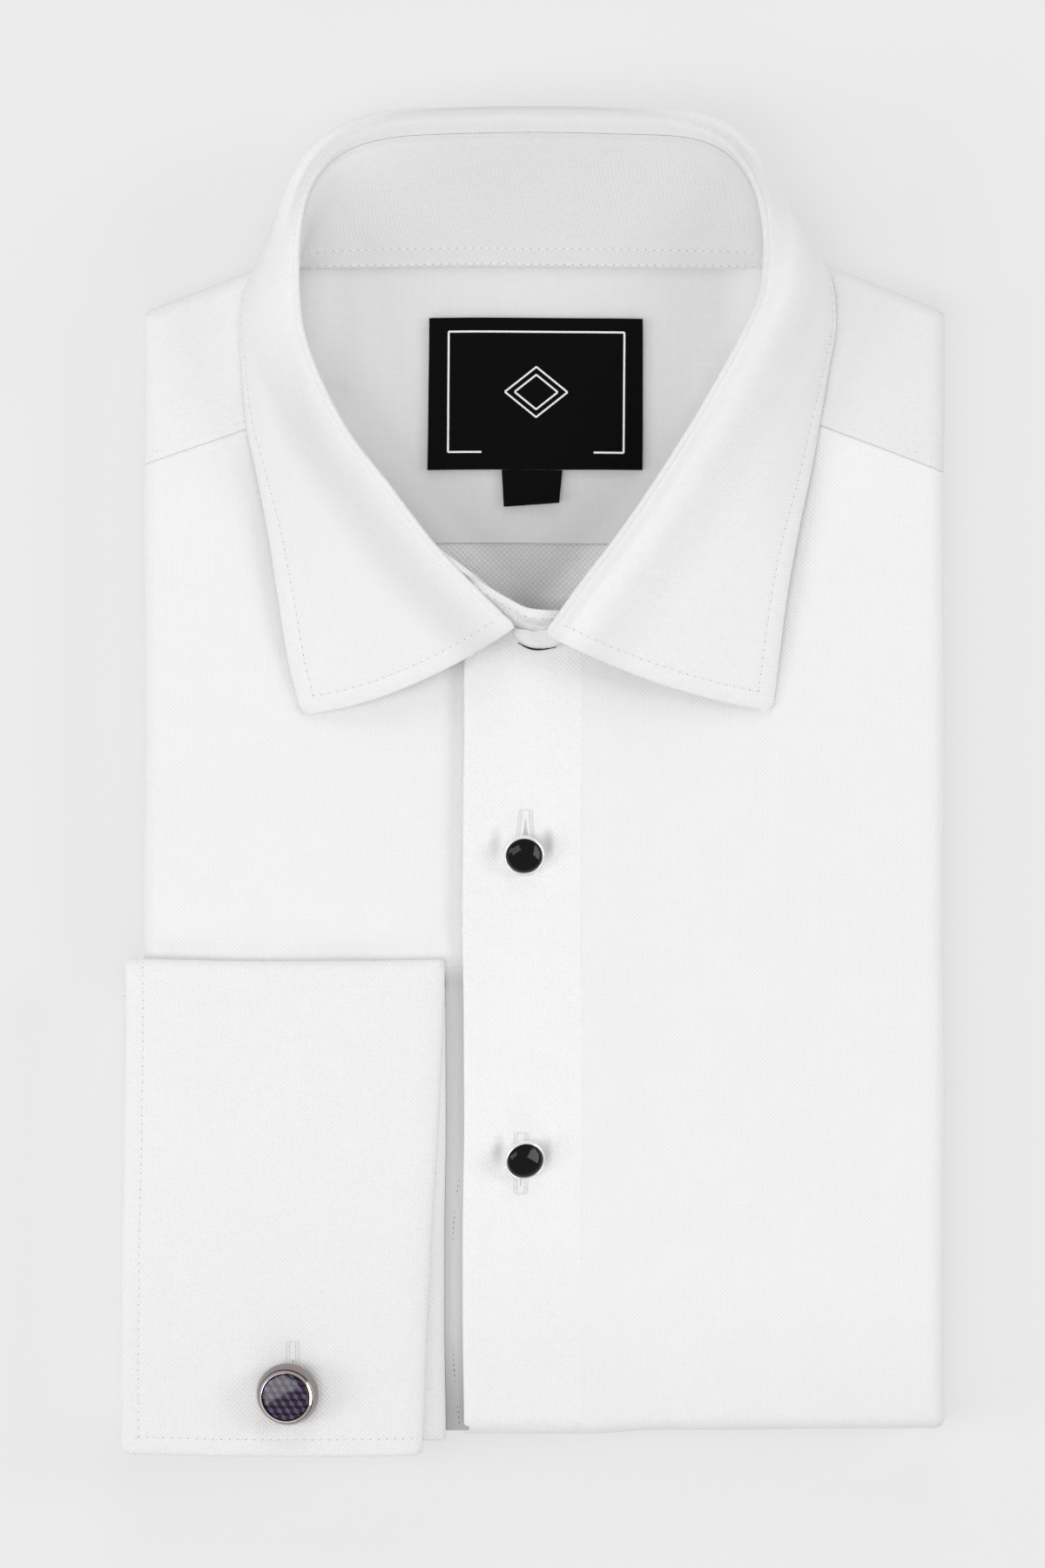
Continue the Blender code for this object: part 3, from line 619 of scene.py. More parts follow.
def seam_threads(line, up, pitch=None, length=1.65, radius=0.17, hole=0.11):
    """A row of stitches along a settled line of points, and the needle holes between them, grey with painted
    shade.
    """
    pitch = pitch or bpy.context.scene.shirt_cloth.stitch_pitch / MM
    line, up = np.asarray(line, float), np.asarray(up, float)
    reached = measured(line)
    count = max(int(reached[-1] / pitch), 1)

    def row(at, lift, half, radius, tone):
        ahead = sampled(line, reached, np.minimum(at + STITCH_REACH, reached[-1]))
        behind = sampled(line, reached, np.maximum(at - STITCH_REACH, 0))
        raised = sampled(up, reached, at)
        centres = sampled(line, reached, at) + raised * lift
        return Threads(centres, ahead - behind, raised, half, radius, tone)

    middles = (np.arange(count) + 0.5) * reached[-1] / count
    ends = np.arange(count + 1) * reached[-1] / count
    return [row(middles, 0.0, length / 2, radius, 0), row(ends, HOLE_LIFT, hole * 2.6, hole, 1)]


def sewn_row(face, up, distance, at, keep):
    """Stitches on a face of the cloth where distance, which grows along its first axis, is at.

    keep picks the lines of that axis that the row crosses.
    """
    return seam_threads(line_at(face, distance, at)[keep], line_at(up, distance, at)[keep])


def upward(line):
    """A level surface's normal for each point of the line."""
    return np.tile((0.0, 0.0, 1.0), (len(line), 1))


# Turned pieces


TURNED_SIDES = 72


def turned(node, outline, place, base, material, slot, metals=()):
    """A solid turned about its own axis, standing at place and tilted by two angles in degrees.

    metals are the places in material of what each step of the outline is made of.
    """
    x, y, lean_x, lean_y = place
    sides = TURNED_SIDES
    points, faces, rings = [], [], []
    for radius, height in outline:
        count = 1 if radius == 0 else sides
        rings.append([len(points) + k % count for k in range(sides)])
        for k in range(count):
            angle = 2 * math.pi * k / sides
            points.append((radius * math.cos(angle), radius * math.sin(angle), height))
    for low, high in zip(rings, rings[1:]):
        for k in range(sides):
            after = (k + 1) % sides
            faces.append(tuple(dict.fromkeys((low[k], low[after], high[after], high[k]))))
    tilt = Matrix.Rotation(math.radians(lean_y), 3, "Y") @ Matrix.Rotation(math.radians(lean_x), 3, "X")
    lift = settle([[x, y, base]])[0] - np.array([x, y, base])
    shift = Vector((x, y, base)) + Vector(lift)
    placed = [tuple(tilt @ Vector(point) + shift) for point in points]
    made = piece(f"{node}_finish", placed, faces, points, material, slot, [node], settled=False)
    if metals:
        made.data.polygons.foreach_set("material_index", np.repeat(metals, sides))
    return made


# Materials


def colour(name, description, default):
    return FloatVectorProperty(
        name=name, description=description, default=default, subtype="COLOR", min=0.0, max=1.0,
    )


def length(name, description, default, low, high):
    return FloatProperty(
        name=name, description=description, default=default, unit="LENGTH", min=low, max=high, precision=5,
    )


def power(name, description, default):
    return FloatProperty(name=name, description=description, default=default, min=0.0, unit="POWER")


class ShirtCloth(bpy.types.PropertyGroup):
    """Sizes and colours of the cloth and its stitching."""

    cloth_colour: colour("Cloth", "Colour of the cotton", (0.906, 0.905, 0.906))
    # The lining is greyer than the cloth: partly its own tone, partly painted shade of the neck hollow
    lining_colour: colour("Lining", "Colour of the yoke lining", (0.768, 0.768, 0.768))
    # The inside of the back is drawn dark grey: painted shade of the deep neck opening
    inside_shade_colour: colour("Inside of the back", "Colour of the cotton's wrong side", (0.58, 0.58, 0.58))
    thread_colour: colour("Thread", "Colour of the stitching", (0.88, 0.88, 0.88))
    weave_pitch: length(
        "Weave pitch", "Distance from one diamond of the weave to the next", 0.0014, 0.0004, 0.004,
    )
    weave_depth: length("Weave depth", "Height of the weave over its pits", 0.00016, 0.0, 0.001)
    stitch_pitch: length("Stitch pitch", "Distance from one stitch to the next", 0.00235, 0.001, 0.006)


class ShirtTrim(bpy.types.PropertyGroup):
    """Colours of the label, the studs and the cufflink."""

    label_colour: colour("Label", "Colour of the woven label", (0.002, 0.002, 0.0023))
    rim_colour: colour("Stud rim", "Colour of the polished rims", (0.96, 0.96, 0.965))
    enamel_colour: colour("Stud enamel", "Colour of the domes", (0.003, 0.003, 0.003))
    barrel_colour: colour("Cufflink metal", "Colour of the cufflink's barrel", (0.33, 0.28, 0.28))
    inlay_light: colour("Inlay, light", "Lightest diamond of the inlay", (0.080, 0.075, 0.175))
    inlay_middle: colour("Inlay, middle", "Middle diamond of the inlay", (0.040, 0.008, 0.014))
    inlay_dark: colour("Inlay, dark", "Darkest diamond of the inlay", (0.003, 0.003, 0.005))


class ShirtStage(bpy.types.PropertyGroup):
    """Floor, light and camera."""

    floor_colour: colour("Floor", "Colour of the floor", (0.33, 0.33, 0.331))
    floor_glow: FloatProperty(
        name="Floor glow", description="Light that the floor gives off itself, as a light table does",
        default=0.50, min=0.0, max=1.0,
    )
    sky: FloatProperty(name="Sky", description="Strength of the light from all round", default=0.45, min=0.0)
    key: power("Key light", "Power of the large light overhead", 16.8)
    cards: power("Side lights", "Power of each low light beside the shirt", 12.7)
    lens: FloatProperty(
        name="Lens", description="Focal length of the camera", default=200.0, min=20.0, unit="CAMERA",
    )


def begun(name):
    """A new material with its node tree and its shader."""
    made = bpy.data.materials.new(name)
    made.use_nodes = True
    return made, made.node_tree, made.node_tree.nodes["Principled BSDF"]


def maths(tree, operation, *values):
    """The output of a Math node over sockets and numbers."""
    made = tree.nodes.new("ShaderNodeMath")
    made.operation = operation
    for socket, value in zip(made.inputs, values):
        if isinstance(value, (int, float)):
            socket.default_value = value
        else:
            tree.links.new(value, socket)
    return made.outputs[0]


def vector_maths(tree, operation, first, second, output="Vector"):
    made = tree.nodes.new("ShaderNodeVectorMath")
    made.operation = operation
    for socket, value in zip(made.inputs, (first, second)):
        if isinstance(value, (tuple, list)):
            socket.default_value = value
        elif value is not None:
            tree.links.new(value, socket)
    return made.outputs[output]


def attribute(tree, name):
    made = tree.nodes.new("ShaderNodeAttribute")
    made.attribute_name = name
    return made.outputs


def parted(tree, vector):
    """The first two parts of a vector."""
    made = tree.nodes.new("ShaderNodeSeparateXYZ")
    tree.links.new(vector, made.inputs[0])
    return made.outputs[0], made.outputs[1]


def object_place(tree):
    return tree.nodes.new("ShaderNodeTexCoord").outputs["Object"]


def scaled_colour(colour, gain):
    return tuple(channel * gain for channel in colour)


def noise(tree, place, scale, detail=2.0):
    made = tree.nodes.new("ShaderNodeTexNoise")
    made.inputs["Scale"].default_value = scale
    made.inputs["Detail"].default_value = detail
    tree.links.new(place, made.inputs["Vector"])
    return made


def tinted(tree, share, low, high, socket):
    """Colours the socket from low to high by share, a socket from 0 to 1."""
    ramp = tree.nodes.new("ShaderNodeValToRGB")
    ramp.color_ramp.elements[0].color = (*low, 1)
    ramp.color_ramp.elements[1].color = (*high, 1)
    tree.links.new(share, ramp.inputs["Fac"])
    tree.links.new(ramp.outputs["Color"], socket)


def embossed(tree, shader, height, distance, strength=1.0):
    bump = tree.nodes.new("ShaderNodeBump")
    bump.inputs["Distance"].default_value = distance
    bump.inputs["Strength"].default_value = strength
    tree.links.new(height, bump.inputs["Height"])
    tree.links.new(bump.outputs["Normal"], shader.inputs["Normal"])


def flat_cloth(tree, wander=0.14):
    """Coordinates on the flat cloth in millimetres, wandering a little as woven threads do."""
    place = attribute(tree, "cloth")["Vector"]
    shift = vector_maths(tree, "SUBTRACT", noise(tree, place, 0.35).outputs["Color"], (0.5, 0.5, 0.5))
    shift = vector_maths(tree, "MULTIPLY", shift, (wander, wander, wander))
    return place, *parted(tree, vector_maths(tree, "ADD", place, shift))


def ridges(tree, along, pitch):
    """0 to 1 and back once in each pitch along this coordinate."""
    return maths(tree, "ABSOLUTE", maths(tree, "SINE", maths(tree, "MULTIPLY", along, math.pi / pitch)))


def paint_light_and_shade(tree, shader, along, low, high, least):
    """Multiplies the shader's colour by least at low on this coordinate and less and less up to high.

    Under 1 that paints shade into the colour, where the cloth lies deep, and over 1 it paints light into it.
    """
    ramp = tree.nodes.new("ShaderNodeMapRange")
    ramp.interpolation_type = "SMOOTHSTEP"
    for socket, value in zip(ramp.inputs[1:5], (low, high, least, 1.0)):
        socket.default_value = value
    tree.links.new(along, ramp.inputs[0])
    scaled = vector_maths(tree, "SCALE", shader.inputs["Base Color"].links[0].from_socket, None)
    tree.links.new(ramp.outputs[0], scaled.node.inputs["Scale"])
    tree.links.new(scaled, shader.inputs["Base Color"])


def paint_light_at_neck(tree, shader, x, y, gain):
    """Paints light into the shader's colour towards the collar's fold, which lies closer in lower down."""
    fold = maths(tree, "MINIMUM", maths(tree, "MULTIPLY_ADD", y, 0.87, -32.4), 66.0)
    paint_light_and_shade(tree, shader, maths(tree, "SUBTRACT", fold, maths(tree, "ABSOLUTE", x)), 0.0, 15.0, gain)


# Painted shade of the hollows in the placket beside the studs: the middle of each on the flat cloth, and how
# dark it is
HollowShade = namedtuple("HollowShade", "x y least")
STUD_HOLLOW_SHADES = (
    HollowShade(-10.4, -61.0, 0.82), HollowShade(4.3, -61.5, 0.62),
    HollowShade(-9.9, -149.8, 0.70), HollowShade(3.6, -150.2, 0.74),
)
HOLLOW_SHADE_HALF_WIDTH, HOLLOW_SHADE_HALF_LENGTH = 2.9, 6.5


def paint_hollow_shades(tree, shader, place):
    """Paints shade into the placket's colour where a stud pulls it down beside it."""
    for hollow in STUD_HOLLOW_SHADES:
        away = vector_maths(tree, "SUBTRACT", place, (hollow.x, hollow.y, 0.0))
        away = vector_maths(tree, "MULTIPLY", away, (1 / HOLLOW_SHADE_HALF_WIDTH, 1 / HOLLOW_SHADE_HALF_LENGTH, 0.0))
        away = vector_maths(tree, "LENGTH", away, None, "Value")
        paint_light_and_shade(tree, shader, away, 0.0, 1.0, hollow.least)


# Painted shade and light on the fall beside its fold: middle and half width of the full shade, fade, and how
# dark it is.
# Over 1 it is painted light, paler.
Shade = namedtuple("Shade", "middle half fade least")
RIGHT_HOLLOW_SHADE, LEFT_HOLLOW_SHADE = Shade(10.5, 0.0, 12.0, 0.885), Shade(15.5, 0.0, 12.0, 0.95)
LEFT_FOLD_LIGHT = Shade(2.0, 3.0, 8.0, 1.075)
BACK_FOLD_SHADE, BACK_SLOPE_LIGHT = Shade(-2.0, 3.5, 3.0, 0.895), Shade(7.0, 3.0, 2.0, 1.10)
# Where those shades end along the fall, from its middle, and how far they take to fade
FALL_MIDDLE = 218.0
RIGHT_UP_TO, LEFT_UP_TO, SIDE_FADE = 142.0, 130.0, 40.0
BEHIND_UP_TO, BEHIND_FADE = 60.0, 30.0


def paint_fold_light_and_shade(tree, shader, x):
    """Paints shade into the fall beside its fold and behind the neck, and light on the left fold and back
    slope.
    """
    fold = attribute(tree, "fold")["Fac"]
    from_middle = maths(tree, "SUBTRACT", x, FALL_MIDDLE)
    on_right = maths(tree, "MULTIPLY_ADD", from_middle, 1 / SIDE_FADE, RIGHT_UP_TO / SIDE_FADE)
    on_left = maths(tree, "MULTIPLY_ADD", from_middle, -1 / SIDE_FADE, LEFT_UP_TO / SIDE_FADE)
    behind = maths(tree, "ABSOLUTE", from_middle)
    behind = maths(tree, "MULTIPLY_ADD", behind, 1 / BEHIND_FADE, -BEHIND_UP_TO / BEHIND_FADE)
    for shade, side in ((RIGHT_HOLLOW_SHADE, on_right), (LEFT_HOLLOW_SHADE, on_left), (LEFT_FOLD_LIGHT, on_left),
                        (BACK_FOLD_SHADE, behind), (BACK_SLOPE_LIGHT, behind)):
        away = maths(tree, "ABSOLUTE", maths(tree, "SUBTRACT", fold, shade.middle))
        away = maths(tree, "MULTIPLY_ADD", away, 1 / shade.fade, -shade.half / shade.fade)
        paint_light_and_shade(tree, shader, maths(tree, "MAXIMUM", away, side), 0.0, 1.0, shade.least)


def pique(name, colour, ribs=0.0, pitch_scale=1.0, contrast=0.925, dim=None, painted_shade_middle=None,
          neck_painted_light=None, painted_light_top=None, folded=False, hollows=False):
    """Cotton with a small diamond weave. ribs is how far it runs into upright ribs."""
    cloth = bpy.context.scene.shirt_cloth
    made, tree, shader = begun(name)
    pitch = cloth.weave_pitch / MM * pitch_scale
    place, x, y = flat_cloth(tree)
    rising = ridges(tree, maths(tree, "ADD", x, y), pitch)
    falling = ridges(tree, maths(tree, "SUBTRACT", x, y), pitch)
    height = maths(tree, "MULTIPLY", rising, falling)
    if ribs:
        rib = ridges(tree, x, pitch / 2)
        height = maths(tree, "MULTIPLY", height, 1 - ribs)
        height = maths(tree, "ADD", height, maths(tree, "MULTIPLY", rib, ribs))
    fibre = noise(tree, place, 3.2, 3.0).outputs["Fac"]
    height = maths(tree, "ADD", height, maths(tree, "MULTIPLY", maths(tree, "SUBTRACT", fibre, 0.5), 0.45))
    # The pits of the weave are painted darker than its tops: painted shade in them, with a slow random tone
    # over it
    shade = maths(tree, "MULTIPLY_ADD", noise(tree, place, 0.06).outputs["Fac"], 0.35, height)
    pit = scaled_colour(colour, contrast)
    tinted(tree, maths(tree, "MULTIPLY", shade, 0.9), pit, colour, shader.inputs["Base Color"])
    embossed(tree, shader, height, cloth.weave_depth, 0.85)
    shader.inputs["Roughness"].default_value = 0.88
    shader.inputs["Specular IOR Level"].default_value = 0.25
    shader.inputs["Sheen Weight"].default_value = 0.08
    shader.inputs["Sheen Roughness"].default_value = 0.5
    # Painted shade: the cloth darker towards the hem
    if dim:
        paint_light_and_shade(tree, shader, y, *dim)
    # Painted light: paler towards the top
    if painted_light_top:
        low, high, gain = painted_light_top
        paint_light_and_shade(tree, shader, maths(tree, "MULTIPLY", y, -1.0), -high, -low, gain)
    # Painted shade over the band's middle, behind the neck
    if painted_shade_middle:
        along = maths(tree, "ABSOLUTE", maths(tree, "SUBTRACT", x, painted_shade_middle))
        paint_light_and_shade(tree, shader, along, 35.0, 100.0, 0.872)
    # Painted light towards the collar's fold
    if neck_painted_light:
        paint_light_at_neck(tree, shader, x, y, neck_painted_light)
    # Painted shade and painted light beside the fall's fold
    if folded:
        paint_fold_light_and_shade(tree, shader, x)
    # Painted shade of the hollows beside the studs
    if hollows:
        paint_hollow_shades(tree, shader, place)
    return made


def plain_weave(name, colour):
    """Fine plain cotton with slubs along both threads."""
    made, tree, shader = begun(name)
    place, x, y = flat_cloth(tree, 0.15)
    height = maths(tree, "MULTIPLY", ridges(tree, x, 0.55), ridges(tree, y, 0.55))
    slub = noise(tree, vector_maths(tree, "MULTIPLY", place, (0.18, 2.6, 1.0)), 1.0, 1.0).outputs["Fac"]
    warp = noise(tree, vector_maths(tree, "MULTIPLY", place, (2.4, 0.15, 1.0)), 1.0, 1.0).outputs["Fac"]
    threads = maths(tree, "ADD", slub, warp)
    height = maths(tree, "MULTIPLY_ADD", threads, 0.5, height)
    # The pits between the threads are painted darker: painted shade, with the slubs' own tone
    pit = scaled_colour(colour, 0.95)
    tinted(tree, maths(tree, "MULTIPLY", height, 0.7), pit, colour, shader.inputs["Base Color"])
    embossed(tree, shader, height, 0.00008, 0.8)
    shader.inputs["Roughness"].default_value = 0.9
    shader.inputs["Specular IOR Level"].default_value = 0.2
    # Painted shade: the lining darker towards its lower end, under the front of the collar
    paint_light_and_shade(tree, shader, y, 62.0, 118.0, 0.77)
    paint_light_at_neck(tree, shader, x, y, 1.2)
    return made


def woven_label(name, colour):
    """Dark tape with a fine slanting rib."""
    made, tree, shader = begun(name)
    place, x, y = flat_cloth(tree, 0.1)
    height = maths(tree, "MULTIPLY", ridges(tree, maths(tree, "ADD", x, y), 0.62), ridges(tree, x, 0.31))
    fibre = noise(tree, place, 4.0, 2.0).outputs["Fac"]
    height = maths(tree, "MULTIPLY_ADD", fibre, 0.5, height)
    # The tops of the ribs are painted lighter than the tape: a painted highlight, with random fibre tone
    light = scaled_colour(colour, 1.7)
    tinted(tree, maths(tree, "MULTIPLY", height, 0.7), colour, light, shader.inputs["Base Color"])
    embossed(tree, shader, height, 0.00009, 0.8)
    shader.inputs["Roughness"].default_value = 0.8
    shader.inputs["Specular IOR Level"].default_value = 0.05
    return made


def thread(name, colour):
    """Twisted cotton thread."""
    made, tree, shader = begun(name)
    twist = noise(tree, object_place(tree), 2600.0, 2.0).outputs["Fac"]
    tinted(tree, twist, scaled_colour(colour, 0.86), colour, shader.inputs["Base Color"])
    embossed(tree, shader, twist, 0.00006, 0.6)
    shader.inputs["Roughness"].default_value = 0.7
    shader.inputs["Specular IOR Level"].default_value = 0.3
    return made


def polished(name, colour, roughness, metallic=1.0):
    """Polished metal with faint handling marks."""
    made, tree, shader = begun(name)
    marks = noise(tree, object_place(tree), 900.0, 4.0).outputs["Fac"]
    rough = maths(tree, "MULTIPLY_ADD", marks, roughness, roughness * 0.5)
    tree.links.new(rough, shader.inputs["Roughness"])
    tinted(tree, marks, scaled_colour(colour, 0.93), colour, shader.inputs["Base Color"])
    shader.inputs["Metallic"].default_value = metallic
    return made


def enamel(name, colour):
    """Glossy enamel with a little dust in its gloss."""
    made, tree, shader = begun(name)
    dust = noise(tree, object_place(tree), 700.0, 3.0).outputs["Fac"]
    tree.links.new(maths(tree, "MULTIPLY_ADD", dust, 0.05, 0.03), shader.inputs["Roughness"])
    tinted(tree, dust, colour, scaled_colour(colour, 1.6), shader.inputs["Base Color"])
    shader.inputs["IOR"].default_value = 1.5
    shader.inputs["Specular IOR Level"].default_value = 0.22
    return made


def block_inlay(name, light, middle, dark, size):
    """Glossy inlay of small diamonds in threes, each three like a stacked block."""
    made, tree, shader = begun(name)
    scaled = vector_maths(tree, "MULTIPLY", attribute(tree, "cloth")["Vector"], (1 / size, 1 / size, 0.0))
    scaled = vector_maths(tree, "ADD", scaled, (40.0, 20 * math.sqrt(3), 0.0))
    tile, middle_of = (1.0, math.sqrt(3), 1.0), (0.5, math.sqrt(3) / 2, 0.0)
    first = vector_maths(tree, "SUBTRACT", vector_maths(tree, "MODULO", scaled, tile), middle_of)
    moved = vector_maths(tree, "ADD", scaled, middle_of)
    second = vector_maths(tree, "SUBTRACT", vector_maths(tree, "MODULO", moved, tile), middle_of)
    nearer = maths(tree, "LESS_THAN", vector_maths(tree, "LENGTH", first, None, "Value"),
                   vector_maths(tree, "LENGTH", second, None, "Value"))
    pick = tree.nodes.new("ShaderNodeMix")
    pick.data_type = "VECTOR"
    tree.links.new(nearer, pick.inputs[0])
    tree.links.new(second, pick.inputs[4])
    tree.links.new(first, pick.inputs[5])
    x, y = parted(tree, pick.outputs[1])
    angle = maths(tree, "ARCTAN2", y, x)
    sector = maths(tree, "FRACT", maths(tree, "MULTIPLY_ADD", angle, 0.5 / math.pi, 1 + 1 / 12))
    ramp = tree.nodes.new("ShaderNodeValToRGB")
    ramp.color_ramp.interpolation = "CONSTANT"
    ramp.color_ramp.elements[0].color = (*light, 1)
    ramp.color_ramp.elements[1].position = 2 / 3
    ramp.color_ramp.elements[1].color = (*dark, 1)
    extra = ramp.color_ramp.elements.new(1 / 3)
    extra.color = (*middle, 1)
    tree.links.new(sector, ramp.inputs["Fac"])
    tree.links.new(ramp.outputs["Color"], shader.inputs["Base Color"])
    shader.inputs["Roughness"].default_value = 0.08
    shader.inputs["IOR"].default_value = 1.5
    return made


BAND_MIDDLE = 205.0
# Pique cloths: what pique() takes besides the cotton's colour, and gain, which multiplies that colour. A gain
# under 1 is painted shade on a copy of the cloth, and dim paints shade towards the hem
PIQUES = {
    "front_pique": {"ribs": 0.45, "contrast": 0.91, "dim": (-186.0, -145.0, 0.96)},
    "diamond_pique": {"contrast": 0.95},
    "cuff_pique": {"contrast": 0.95, "dim": (0.0, 110.0, 0.965)},
    "shaded_yoke_pique": {"gain": 0.945, "ribs": 0.15, "pitch_scale": 0.86},
    "placket_pique": {"gain": 1.03, "contrast": 0.96, "dim": (-229.0, -150.0, 0.95), "hollows": True},
    "shaded_under_pique": {"gain": 0.95, "dim": (10.0, 110.0, 0.92)},
    "collar_pique": {"ribs": 0.15, "pitch_scale": 0.86, "contrast": 0.945},
    "fall_pique": {"ribs": 0.15, "pitch_scale": 0.86, "contrast": 0.945, "folded": True},
    "band_pique": {"ribs": 0.15, "pitch_scale": 0.86, "painted_shade_middle": BAND_MIDDLE},
}
# The strip's grey is painted shade of the trench between the cuff and the placket
STRIP_SHADE_GREY = 0.64
# Greys of the threads. The needle holes, the slit, the gap under the band and the strip's holes and thread
# are painted shade; the label frame's thread is its own colour.
THREAD_GREYS = {
    "needle_hole_shade": 0.42, "slit_shade": 0.63, "gap_shade": 0.02, "shaded_strip_thread": 0.58, "strip_hole_shade": 0.06,
    "label_frame_thread": 0.97,
}
INLAY_SIZE = 2.4


def material(name):
    """The shirt's material of this name, made when it is first asked for."""
    found = bpy.data.materials.get(name)
    if found:
        return found
    cloth, trim = bpy.context.scene.shirt_cloth, bpy.context.scene.shirt_trim
    if name in PIQUES:
        options = dict(PIQUES[name])
        gain = options.pop("gain", 1.0)
        return pique(name, scaled_colour(cloth.cloth_colour, gain), **options)
    if name in THREAD_GREYS:
        return thread(name, (THREAD_GREYS[name],) * 3)
    makers = {
        # The inside of the back: grey of painted shade, with painted light towards the collar's fold
        "inside_pique": lambda: pique(
            name, tuple(cloth.inside_shade_colour), pitch_scale=1.15, contrast=0.80, neck_painted_light=1.45),
        # The strip: painted shade, darker towards the hem, and painted light at its top
        "strip_pique": lambda: pique(
            name, (STRIP_SHADE_GREY,) * 3, ribs=0.8, pitch_scale=0.8, dim=(-186.0, -150.0, 0.66),
            painted_light_top=(-59.0, -51.5, 1.40)),
        "yoke_lining_cotton": lambda: plain_weave(name, tuple(cloth.lining_colour)),
        "stitch_thread": lambda: thread(name, tuple(cloth.thread_colour)),
        "label_tape": lambda: woven_label(name, tuple(trim.label_colour)),
        "stud_silver": lambda: polished(name, tuple(trim.rim_colour), 0.2, 0.35),
        "stud_enamel": lambda: enamel(name, tuple(trim.enamel_colour)),
        "link_gunmetal": lambda: polished(name, tuple(trim.barrel_colour), 0.14),
        "link_ring": lambda: polished(name, (0.74, 0.68, 0.68), 0.04),
        "link_groove": lambda: enamel(name, (0.004, 0.004, 0.004)),
        "link_inlay": lambda: block_inlay(
            name, tuple(trim.inlay_light), tuple(trim.inlay_middle), tuple(trim.inlay_dark), INLAY_SIZE),
    }
    return makers[name]()


def look(name, slot="pique"):
    return material(name), slot


def sewing():
    return [material("stitch_thread"), material("needle_hole_shade")]


# Collar


Section = namedtuple("Section", "seam roll handle edge flap")


def collar_sections():
    """The sections from the right tip round the back to the left tip."""
    sections = []

    def leaf_section(leaf, place, seam_out=SEAM_OUT):
        roll, handle, edge = (Vector(point) for point in leaf)
        outward = Vector((edge.x - roll.x, edge.y - roll.y, 0)).normalized()
        seam = roll + outward * seam_out
        seam.z = SEAM_HEIGHT
        flap = TIP_FLAP + (CORNER_FLAP - TIP_FLAP) * place / len(RIGHT_LEAF)
        return Section(seam, roll, handle, edge, flap)

    for place, leaf in enumerate(RIGHT_LEAF):
        sections.append(leaf_section(leaf, place))
    for row in COLLAR_BACK:
        seam = Vector((row.seam_x, SEAM_Y, SEAM_HEIGHT))
        flap = BACK_FLAP + (CORNER_FLAP - BACK_FLAP) * float(eased(abs(row.roll[0]), 42.0, 62.0))
        sections.append(Section(seam, Vector(row.roll), Vector(row.handle), Vector(row.edge), flap))
    for place, leaf in reversed(list(enumerate(LEFT_LEAF))):
        sections.append(leaf_section(leaf, place, SEAM_OUT_LEFT if place else SEAM_OUT))
    return sections


def neck_line(side):
    """The neck seam of one front in plan, from the centre to the back."""
    sections = collar_sections()
    if side < 0:
        seams = [section.seam for section in sections[1 : len(RIGHT_LEAF)]]
    else:
        seams = [section.seam for section in reversed(sections[-len(LEFT_LEAF) : -1])]
    return [Vector((side * 10.0, 47.0))] + [seam.xy for seam in seams]


FLAP_STEPS = (0.0, 0.015, 0.05, 0.12, 0.22, 0.34, 0.46, 0.58, 0.68, 0.77, 0.85, 0.91, 0.96, 1.0)
ROLL_STEPS = (0.4, 0.8, 1.3, 1.9, 2.6, 3.4, 4.4)
ROLL_SOFTNESS = 2.6
SECTION_STEPS = 8
FALL_STEPS = 330


def fall_grid():
    """The middle of the fall: along the collar, then from the band over the soft roll to the outer edge."""
    flap_count, arc_count = 6, 30
    lines = []
    for section in collar_sections():
        down = (section.seam - section.roll).normalized()
        line = [section.roll + down * (section.flap * (1 - k / flap_count)) for k in range(flap_count)]
        for k in range(arc_count + 1):
            t = k / arc_count
            pull = section.roll * (1 - t) ** 2 + section.handle * 2 * t * (1 - t)
            line.append(pull + section.edge * t * t)
        lines.append([point[:] for point in line])
    rows = []
    for line in smoothed(lines, SECTION_STEPS):
        reached = measured(line)
        roll, long = reached[flap_count], reached[-1]
        start = roll + ROLL_STEPS[-1]
        even = start + (long - FINE[-1] - start) * np.arange(1, 36) / 36
        at = np.concatenate([roll * np.array(FLAP_STEPS), roll + np.array(ROLL_STEPS), even,
                             long - np.array(FINE[::-1])])
        blur = ROLL_SOFTNESS * np.exp(-(((at - roll) / 3.0) ** 2))
        blur = np.minimum(blur, np.minimum(at, long - at))
        rows.append(blurred(line, reached, at, blur, 9))
    return np.array(rows)


LEAF_POINT_RADIUS = 3.2
BACK_BEND = 13.0


